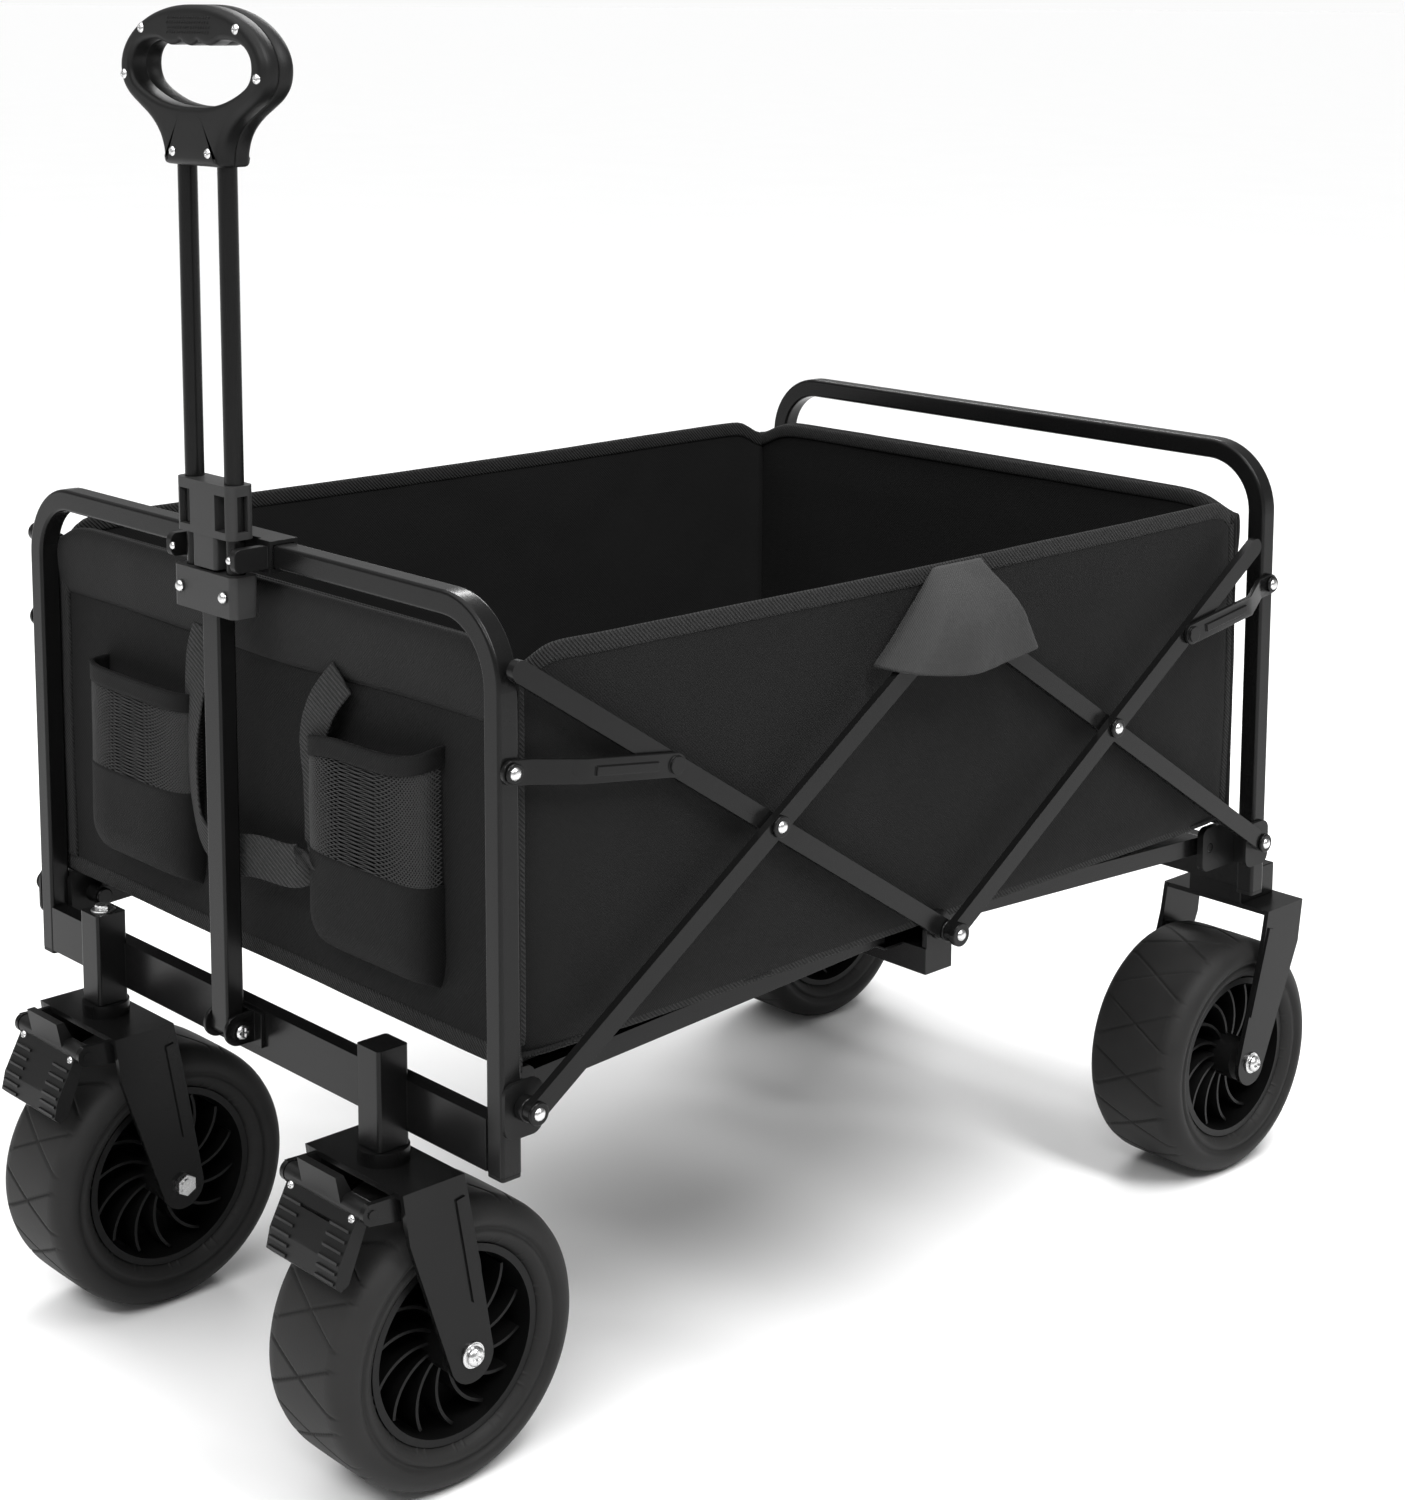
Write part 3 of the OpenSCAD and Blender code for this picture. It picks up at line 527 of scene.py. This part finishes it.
def grip_half(node):
    """One half of the hand grip: a D-shaped ring, well rounded outside and in the finger opening."""
    centre = np.array([0.0, 907.0])
    outer, hole = (loop_through(h, 300, centre) + [0, GRIP_TOP - GRIP_DRAWN] for h in (GRIP_RIM, GRIP_HOLE))
    lo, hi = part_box(node)
    face, seam = (lo.y, hi.y) if node == "grip_front" else (hi.y, lo.y)
    s = 1 if seam > face else -1
    rings = [(inset(outer, 0.8), seam), (outer, seam - s * 0.9 * MM)]
    big, small = 5.6, 3.6
    for a in np.linspace(0, math.pi / 2, 8):
        rings.append((inset(outer, big * (1 - math.cos(a))), face + s * big * (1 - math.sin(a)) * MM))
    o_in, h_in = inset(outer, big), inset(hole, -small)
    for f in (0.25, 0.5, 0.75):
        rings.append((o_in * (1 - f) + h_in * f, face))
    for a in np.linspace(math.pi / 2, 0, 7):
        rings.append((inset(hole, -small * (1 - math.cos(a))), face + s * small * (1 - math.sin(a)) * MM))
    rings.append((hole, seam - s * 0.6 * MM))
    rings.append((inset(hole, -0.5), seam))
    k = len(outer)
    verts = [(x * MM, y, z * MM) for loop, y in rings for x, z in loop]
    m = len(rings)
    faces = []
    for i in range(m):
        for j in range(k):
            i2, j2 = (i + 1) % m, (j + 1) % k
            faces.append([i * k + j, i * k + j2, i2 * k + j2, i2 * k + j])
    obj = piece(node + "_skin", verts, faces, GRIP, BODY_OF[node])
    obj.data.set_sharp_from_angle(angle=math.radians(50))
    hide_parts(node)


grip_half("grip_front")
grip_half("grip_back")
GRIP_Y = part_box("grip_front")[0].y
for k, (x, z) in enumerate(((56, 936.5), (78.5, 906), (21, 857))):
    for q, side in ((-1, "left"), (1, "right")):
        spot = (q * x * MM, GRIP_Y + 0.5 * MM, z * MM)
        screw(f"grip_screw_{k}_{side}", spot, (0, -1, 0), 3.6 * MM, 2.2 * MM, "handle_upper")
for row in range(4):
    for col in range(17):
        spot = ((-24 + 3 * col + 1.5 * (row % 2)) * MM, GRIP_Y, (934 + 3.2 * row) * MM)
        screw(f"grip_dot_{row}_{col}", spot, (0, -1, 0), 1.05 * MM, 0.8 * MM, "handle_upper",
              mat=GRIP, recess=False, rings=3, spokes=8)


# small steel rivet domes on the black heads, on both sides
HEAD_GAP = 20 * MM
for n in BLACK_HEADS:
    mesh = nodes[n].data
    top = max(v.co.x for v in mesh.vertices)
    heads = {}
    for v in mesh.vertices:
        if v.co.x > top - 26 * MM:
            y, z = v.co.y, v.co.z
            near = next((c for c in heads if max(abs(c[0] - y), abs(c[1] - z)) < HEAD_GAP), None)
            heads.setdefault(near or (y, z), []).append(v.co.copy())
    for k, cloud in enumerate(heads.values()):
        out = max(c.x for c in cloud)
        rim = [c for c in cloud if c.x > out - 0.05 * MM]
        y = (min(c.y for c in rim) + max(c.y for c in rim)) / 2
        z = (min(c.z for c in rim) + max(c.z for c in rim)) / 2
        for q, side in ((1, "right"), (-1, "left")):
            spot = (q * (out - 0.1 * MM), y, z)
            screw(f"{n}_dome_{side}_{k}", spot, (q, 0, 0), 4.3 * MM, 2.2 * MM, BODY_OF[n], recess=False)


# rivets on the slider and the clip, bolts at the handle's foot, the stems and the pedals
CLAMP, CLIP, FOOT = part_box("handle_clamp"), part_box("handle_clip"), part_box("handle_bolt")
for q, side in ((1, "right"), (-1, "left")):
    spot = (q * 26 * MM, CLAMP[0].y + 0.1 * MM, 566 * MM)
    screw("clamp_rivet_" + side, spot, (0, -1, 0), 4.0 * MM, 2.4 * MM, "handle_upper", recess=False)
    spot = (q * 34 * MM, CLIP[0].y + 0.2 * MM, (CLIP[0].z + CLIP[1].z) / 2)
    screw("clip_rivet_" + side, spot, (0, -1, 0), 2.6 * MM, 1.4 * MM, "front_frame", recess=False)
    spot = (q * (FOOT[1].x - 0.2 * MM), (FOOT[0].y + FOOT[1].y) / 2, 262 * MM)
    screw("foot_bolt_" + side, spot, (q, 0, 0), 5.2 * MM, 2.6 * MM, BODY_OF["handle_bolt"])
    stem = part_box("caster_fork_" + side)
    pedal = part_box("brake_pedal_" + side)
    pedal_body = BODY_OF["brake_pedal_" + side]
    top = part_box("front_beam")[1].z
    mid_x = (stem[0].x + stem[1].x) / 2
    if q < 0:
        bolt_head("stem_bolt", (mid_x, Y_FRONT - 18 * MM, top - 0.2 * MM), 6.0 * MM, 4.6 * MM, "front_frame")
    for k, dx in enumerate((-1, 1)):
        edge = pedal[0].x if dx < 0 else pedal[1].x
        spot = (edge - dx * 0.2 * MM, Y_FRONT - 60 * MM, 212 * MM)
        screw(f"pedal_screw_{k}_{side}", spot, (dx, 0, 0), 4.2 * MM, 2.0 * MM, pedal_body)
        spot = (mid_x + dx * 33 * MM, Y_FRONT - 66.6 * MM, 207 * MM)
        screw(f"pedal_face_screw_{k}_{side}", spot, (0, -1, 0), 3.2 * MM, 1.8 * MM, pedal_body)


WHEELS = {}
for w in ("front_right", "front_left", "rear_right", "rear_left"):
    lo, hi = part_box("tyre_" + w)
    WHEELS[w] = ((lo + hi) / 2, hi.x - lo.x, (hi.z - lo.z) / 2)


# the tyre's side: how far in from its edge, and the radius, on a tyre of radius TYRE_R
TYRE_R = 97
TYRE_SIDE = ((10, 66.0), (5, 69.2), (2.6, 73), (1.8, 75.6), (3.1, 76.4), (2.9, 79), (0.8, 79.8),
             (0.1, 83), (0.6, 86), (2.2, 89), (4.8, 92.2), (8.4, 94.9), (12.5, 96.2))


def tyre(w):
    """A plain-shouldered tyre with thin crossing sipes and a stepped ring on each side wall."""
    c, width, r = WHEELS[w]
    h = width / 2
    prof = [(-h + x * MM, rr) for x, rr in TYRE_SIDE]
    flat = np.linspace(-h + 16 * MM, h - 16 * MM, 45)
    prof += [(x, TYRE_R - 0.45 * abs(x / (h - 12 * MM)) ** 3) for x in flat]
    prof += [(-x, rr) for x, rr in reversed(prof[:len(TYRE_SIDE)])]
    xs, rs = np.array([p[0] for p in prof]), np.array([p[1] for p in prof]) * (r / MM) / TYRE_R
    n = 620
    a = np.linspace(0, 2 * math.pi, n, endpoint=False)
    A, X = np.meshgrid(a, xs, indexing="ij")
    R = np.tile(rs, (n, 1))
    pitch = 2 * math.pi / 14
    d = np.full(A.shape, 9.0)
    for s in (-1, 1):
        ph = A / pitch + s * X / width
        d = np.minimum(d, np.abs(ph - np.round(ph)) * pitch * TYRE_R * 0.9)
    cut = np.clip(1 - d / 0.95, 0, 1) ** 0.6 * (np.abs(X) < h - 9 * MM)
    R = (R - 1.5 * cut) * MM
    verts = np.stack([X, R * np.cos(A), R * np.sin(A)], axis=2).reshape(-1, 3) + np.array(c)
    m = len(xs)
    faces = []
    for i in range(n):
        for j in range(m):
            i2, j2 = (i + 1) % n, (j + 1) % m
            faces.append([i * m + j, i2 * m + j, i2 * m + j2, i * m + j2])
    obj = piece("tyre_tread_" + w, verts, faces, RUBBER, BODY_OF["tyre_" + w])
    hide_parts("tyre_" + w)


for w in WHEELS:
    tyre(w)
    body = {"front_right": "caster_right", "front_left": "caster_left"}.get(w, "rear_frame")
    c, width, r = WHEELS[w]
    reach = width / 2 + 5 * MM + 4 * MM + 4 * MM
    side = 1 if w.endswith("right") else -1
    screw("axle_screw_" + w, (c.x + side * reach, c.y, c.z), (side, 0, 0), 6.4 * MM, 3.0 * MM, body)
    spot = (c.x + side * (reach - 2.9 * MM), c.y, c.z)
    screw("axle_washer_" + w, spot, (side, 0, 0), 8.2 * MM, 1.0 * MM, body, recess=False)


# ---------------------------------------------------------------- fabric basket
def fbm(p, scale, seed):
    return noise.fractal(Vector(p) * scale + Vector((seed, seed * 0.37, 0)), 0.7, 2.0, 3)


def ends(y):
    """Distance from the nearer end panel, in millimetres."""
    return min(y - 12, WALL_1 + 2 - y)


def rim_z(y):
    e = max(ends(y), 0)
    return Z_RIM / MM - 13 * math.exp(-((e / 16) ** 2)) - 1.6 * math.sin(math.pi * y * MM / SPAN) ** 2


def wall_x(y, z):
    e = max(ends(y), 0)
    v = (z - Z_FLOOR / MM) / (Z_RIM / MM - Z_FLOOR / MM)
    x = X_WALL / MM - 1.2
    x -= 9 * math.exp(-e / 14) + 5 * max(0, 1 - (z - 305) / 22) ** 2
    x += 1.4 * math.sin(math.pi * v) * math.sin(3 * math.pi * y * MM / SPAN)
    x += 1.3 * fbm((0, y * MM, z * MM), 9, 3) + 0.9 * math.sin(e / 9) * math.exp(-e / 45)
    return min(x, X_WALL / MM + 2.5)


def side_parts(side, tag):
    """The long wall, its rim and hem bindings, and the hood over the bars' middle pivot."""
    y0, y1 = WALL_0 - 1.2, WALL_1 + 1.2
    foot = 306.5

    def wall(u, v):
        y = y0 + (y1 - y0) * u
        z = foot + (rim_z(y) - foot) * v
        return H(side * wall_x(y, z), y, z)

    w = shell("side_cloth_" + tag, 150, 56, wall, 2.0 * MM, CLOTH, "front_frame")
    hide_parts("side_wall_" + tag)

    def tape(name, zf, tall, thick, z_off, n=110):
        ys = np.linspace(y0, y1, n)

        def ring(i, y):
            z = zf(y)
            x = wall_x(y, z - 4)
            return [H(side * (x + a), y, z + z_off + b) for a, b in pill_up(thick, tall)]

        return tube_along(name, list(ys), ring, TAPE, "front_frame")

    rim = tape("rim_tape_" + tag, rim_z, 13, 4.6, -4.5)
    hem = tape("hem_tape_" + tag, lambda y: 312.0, 13, 4.2, 0)
    soft = [w, rim, hem]
    for k, yy in (("front", y0 + 1), ("rear", y1 - 1)):
        zs = np.linspace(316, 548, 50)

        def ring(i, z, yy=yy):
            s = 1 if yy < 300 else -1
            x = wall_x(yy + s * 6, z)
            return [H(side * (x + a * 0.9), yy + s * b, z) for a, b in pill_up(4.4, 11)]

        soft.append(tube_along(f"corner_tape_{k}_{tag}", list(zs), ring, TAPE, "front_frame"))

    # hood over the apex of the bars
    mid = SPAN / MM / 2

    def hood(u, v):
        top = mid - 8 + 50 * u
        low = mid - 70 + 152 * u
        y = top + (low - top) * v
        z = 565.5 - (59.5 + 8 * math.sin(math.pi * u) + 3 * u) * v + 3 * math.sin(math.pi * u) * v * (1 - v)
        ridge = math.exp(-(((u - 0.36) / 0.24) ** 2))
        rise = math.sin(min(v * 1.5, 1) * math.pi / 2)
        x = 276.5 + 31 * rise + 9 * ridge * math.sin(min(v * 1.1, 1) * math.pi / 2)
        x -= (29 * (max(0.0, 0.10 - u) / 0.10) ** 2 + 26 * (max(0.0, u - 0.90) / 0.10) ** 2) * rise
        x += 0.9 * fbm((u, v, side), 4, 7) + 1.1 * math.sin(9 * u + 3 * v) * v * (1 - v)
        return H(side * x, y, z)

    # the hood takes the painted-light copy of the cloth, lighter than the walls around it
    hd = shell("bar_hood_" + tag, 70, 40, hood, 1.8 * MM, LIT_HOOD_CLOTH, "front_frame")
    for o in soft:
        tuple(H(0, WALL_0, 0))
        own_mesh(o)
    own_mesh(hd)


def pill_up(t, h, steps=4):
    """A rounded tape section, t thick across and h tall."""
    return [(b, a) for a, b in pill(h, t, steps)]


side_parts(1, "right")
side_parts(-1, "left")


def floor_half(tag):
    """One half of the floor cloth, from the hoop's end on."""
    lo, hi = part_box("floor_cloth")
    s = 1 if tag == "front" else -1

    def f(u, v):
        x = lo.x + (hi.x - lo.x) * u
        y = (lo.y if s > 0 else hi.y) + s * (hi.y - lo.y) / 2 * v
        sag = 1.6 * math.sin(math.pi * u) * math.sin(math.pi * min(v * 1.1, 1)) + 0.8 * fbm((x, y, 0), 11, 5)
        return Vector((x, y, Z_FLOOR - 1.0 * MM - sag * MM * 0.5))

    o = shell("floor_cloth_" + tag, 60, 50, f, 1.8 * MM, CLOTH_FLAT, None)
    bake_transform(o)
    return o


floor_f = floor_half("front")
floor_half("rear")
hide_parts("floor_cloth")


def end_panel(tag):
    """An end panel between the posts: cloth, a rolled band along the top and tape on the edges."""
    s = 1 if tag == "front" else -1
    body = tag + "_frame"

    def at(x, y, z):
        p = H(x, y, z)
        if s < 0:
            p.y = 2 * Y_MID - p.y - REAR_IN
        return p

    w = POST_IN / MM + 9

    def top(x):
        e = w - abs(x)
        return Z_RIM / MM - 14 * math.exp(-((e / 26) ** 2))

    def base_y(x, z):
        e = w - abs(x)
        hollow = 2.6 * math.sin(math.pi * min(1, (z - 300) / 220)) * (1 - math.exp(-e / 40))
        return 12.2 - hollow + 1.0 * fbm((x * MM, 0, z * MM), 7, 11 + s)

    def face(u, v):
        x = -w + 2 * w * u
        z = 300.5 + (top(x) - 1 - 300.5) * v
        return at(x, base_y(x, z), z)

    p = shell("end_cloth_" + tag, 110, 60, face, 2.2 * MM, CLOTH, body)
    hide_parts(tag + "_panel")

    def band(u, v):
        x = -w + 1 + 2 * (w - 1) * u
        low, high = 517 + 1.5 * math.sin(9 * u), top(x) + 2.4
        z = low + (high - low) * math.sin(min(v, 0.86) / 0.86 * math.pi / 2) - (v > 0.86) * (v - 0.86) * 40
        puff = 7.0 * math.sin(math.pi * min(v / 0.9, 1)) ** 0.7 + 2.0
        puff *= 0.55 + 0.45 * (1 - math.exp(-(w - abs(x)) / 30))
        wave = 0.7 * math.sin(x / 13) * math.exp(-(w - abs(x)) / 60)
        puff += 1.1 * fbm((x * MM, 0.3, z * MM), 8, 21) + wave
        y = base_y(x, z) - puff * (1 if v < 0.9 else 1 - (v - 0.9) * 7)
        return at(x, y, z)

    b = shell("top_band_" + tag, 120, 30, band, 1.8 * MM, BAND, body)

    def strip(name, pts, up, tall, thick):
        def ring(i, q):
            x, y, z = q
            dx, dz = (1, 0) if up == "x" else (0, 1)
            return [at(x + c * dx, y + d, z + c * dz) for c, d in pill(tall, thick, 4)]

        return tube_along(name, pts, ring, TAPE, body)

    strip("tape_low_" + tag, [(x, base_y(x, 306) - 0.4, 306) for x in np.linspace(-w, w, 90)], "z", 13, 4.4)
    for q, k in ((-1, "left"), (1, "right")):
        edge = q * (w - 11)
        line = [(edge, base_y(edge, z) - 1.6, z) for z in np.linspace(312, 545, 60)]
        strip(f"tape_side_{k}_{tag}", line, "x", 14, 3.4)
    strip("tape_top_" + tag, [(x, 13.4, top(x) - 3.5) for x in np.linspace(-w + 2, w - 2, 110)], "z", 12, 4.4)


end_panel("front")
end_panel("rear")


# ---------------------------------------------------------------- cup pockets
def pocket(side, tag):
    """A cup pocket: cloth below, open net above, tape round the mouth."""
    cx, half = side * 138.0, 64.0
    foot = 334

    def mouth_z(u):
        return 475 + (19 * u if side > 0 else 4 * (1 - u))

    def wrap(u, z):
        a = math.pi * u
        c, s = -math.cos(a), math.sin(a)
        low = max(0.0, 1 - (z - foot) / 26)
        depth = 23.5 * (1 - 0.55 * low ** 2) * (1 - 0.06 * (z - foot) / 150)
        hw = half * (1 - 0.10 * low ** 2)
        x = math.copysign(abs(c) ** 0.42, c) * hw
        y = 11.2 - depth * abs(s) ** 0.42
        return cx + x, y + 0.9 * fbm((x * MM, side, z * MM), 12, 31), z

    def cloth(u, v):
        z = foot + 70 * v
        x, y, z = wrap(u, z)
        if v < 0.10:
            k = 1 - v / 0.10
            y = y + (11.2 - y) * k ** 1.6
        return H(x, y, z)

    lower = shell("pocket_cloth_" + tag, 70, 26, cloth, 1.8 * MM, CLOTH, "front_frame")
    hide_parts("cup_pocket_" + tag)

    def hem(u, v):
        return H(*wrap(u, mouth_z(u) - 13 + 13 * v))

    mouth = shell("pocket_hem_" + tag, 70, 6, hem, 3.2 * MM, CLOTH, "front_frame")

    cols, rows = 34, 26
    ids, verts, faces = {}, [], []

    def vid(i, j):
        if (i, j) not in ids:
            ids[(i, j)] = len(verts)
            u = min(max(i / (2 * cols), 0.003), 0.997)
            verts.append(H(*wrap(u, 402 + (mouth_z(u) - 413) * j / (2 * rows))))
        return ids[(i, j)]

    for j in range(2 * rows):
        for i in range(j % 2, 2 * cols - 1, 2):
            if j + 2 <= 2 * rows and i + 2 <= 2 * cols:
                faces.append([vid(i + 1, j), vid(i + 2, j + 1), vid(i + 1, j + 2), vid(i, j + 1)])
    net = piece("pocket_net_" + tag, verts, faces, MESH, "front_frame")
    wire = net.modifiers.new("net", "WIREFRAME")
    wire.thickness, wire.use_even_offset, wire.use_replace = 1.25 * MM, False, True
    settle(net)
    paint(net, MESH)


pocket(1, "right")
pocket(-1, "left")

# closing strap, looped behind the handle and the near pocket
strap_pts = [(-64, 6, 524), (-66, 1, 500), (-67, -4, 450), (-60, -7, 405), (-46, -9, 382),
             (-20, -10, 376), (20, -10, 383), (62, -8, 386), (80, -4, 400), (80, -2, 440),
             (78, -3, 474), (88, -2, 500), (102, 4, 520)]
strap_wide = [(1, 0, 0), (1, 0, 0), (1, -0.3, 0.1), (0.9, -0.4, 0.5), (0.4, -0.3, 1),
              (0, -0.2, 1), (0, 0.1, 1), (0.1, 0.1, 1), (0.8, 0, 0.6), (1, 0, 0),
              (1, 0, 0), (1, 0, -0.3), (1, 0, -0.3)]
strap_line = [H(*p) for p in strap_pts]
ribbon("closing_strap", strap_line, strap_wide, 29 * MM, 1.8 * MM, WEBBING, "front_frame", n=110)


# ---------------------------------------------------------------- floor, light and camera
def plane(name, size, z):
    me = bpy.data.meshes.new(name)
    corners = [(-size, -size, z), (size, -size, z), (size, size, z), (-size, size, z)]
    me.from_pydata(corners, [], [(0, 1, 2, 3)])
    o = bpy.data.objects.new(name, me)
    bpy.context.scene.collection.objects.link(o)
    return o


ground = plane("ground", 400, 0)
gt = Tree("ground_paper")
gplace = gt.coords()[0]
paper = tinted(gt, gt.noise(gplace, 2, 3), grey(0.86), grey(0.88))
ground.data.materials.append(gt.done(paper, 0.75, Specular_IOR_Level=0.2))

world = bpy.data.worlds.new("studio")
bpy.context.scene.world = world
world.use_nodes = True
wn = world.node_tree.nodes
sky_place = wn.new("ShaderNodeTexCoord")
sky_split = wn.new("ShaderNodeSeparateXYZ")
sky_ramp = wn.new("ShaderNodeValToRGB")
for a, b in ((sky_place.outputs[0], sky_split.inputs[0]),
             (sky_split.outputs[2], sky_ramp.inputs[0]),
             (sky_ramp.outputs[0], wn["Background"].inputs[0])):
    world.node_tree.links.new(a, b)
sky_ramp.color_ramp.elements[0].position, sky_ramp.color_ramp.elements[0].color = 0.02, (0.97, 0.97, 0.97, 1)
sky_ramp.color_ramp.elements[1].position, sky_ramp.color_ramp.elements[1].color = 0.07, (0.34, 0.34, 0.34, 1)
wn["Background"].inputs[1].default_value = 1.0


def softbox(name, at, to, size, power):
    d = bpy.data.lights.new(name, "AREA")
    d.shape, d.size, d.size_y, d.energy = "RECTANGLE", size[0], size[1], power
    o = bpy.data.objects.new(name, d)
    o.location = at
    o.rotation_mode = "QUATERNION"
    o.rotation_quaternion = (Vector(to) - Vector(at)).to_track_quat("-Z", "Y")
    bpy.context.scene.collection.objects.link(o)


softbox("key", (1.3, -2.5, 2.8), (0, 0, 0.4), (2.6, 0.22), 55)
softbox("side", (1.9, 0.1, 2.9), (0, 0, 0.4), (0.7, 2.2), 95)
softbox("back", (-1.8, 2.2, 2.6), (0, 0, 0.5), (1.8, 0.3), 45)
sky = bpy.data.lights.new("overhead", "SUN")
sky.energy, sky.angle = 2.7, math.radians(80)
sun = bpy.data.objects.new("overhead", sky)
sun.rotation_euler = (math.radians(12), math.radians(-8), 0)
bpy.context.scene.collection.objects.link(sun)
bpy.context.scene.view_settings.view_transform = "Standard"

cam_data = bpy.data.cameras.new("camera")
cam = bpy.data.objects.new("camera", cam_data)
bpy.context.scene.collection.objects.link(cam)
bpy.context.scene.camera = cam
AZ, EL, ROLL = math.radians(46.02), math.radians(7.96), 0.0056
back = Vector((math.sin(AZ) * math.cos(EL), -math.cos(AZ) * math.cos(EL), math.sin(EL)))
right = Vector((0, 0, 1)).cross(back).normalized()
up = back.cross(right)
right, up = right * math.cos(ROLL) + up * math.sin(ROLL), up * math.cos(ROLL) - right * math.sin(ROLL)
eye = Vector((1.4956, -1.3594, 0.9549))
cam.matrix_world = Matrix.LocRotScale(eye, Matrix((right, up, back)).transposed(), None)
cam_data.sensor_fit = "VERTICAL"
cam_data.sensor_height = cam_data.sensor_width = 36
cam_data.lens = 63.73
cam_data.shift_x, cam_data.shift_y = -0.0349, -0.2505
cam_data.clip_start, cam_data.clip_end = 0.05, 1000
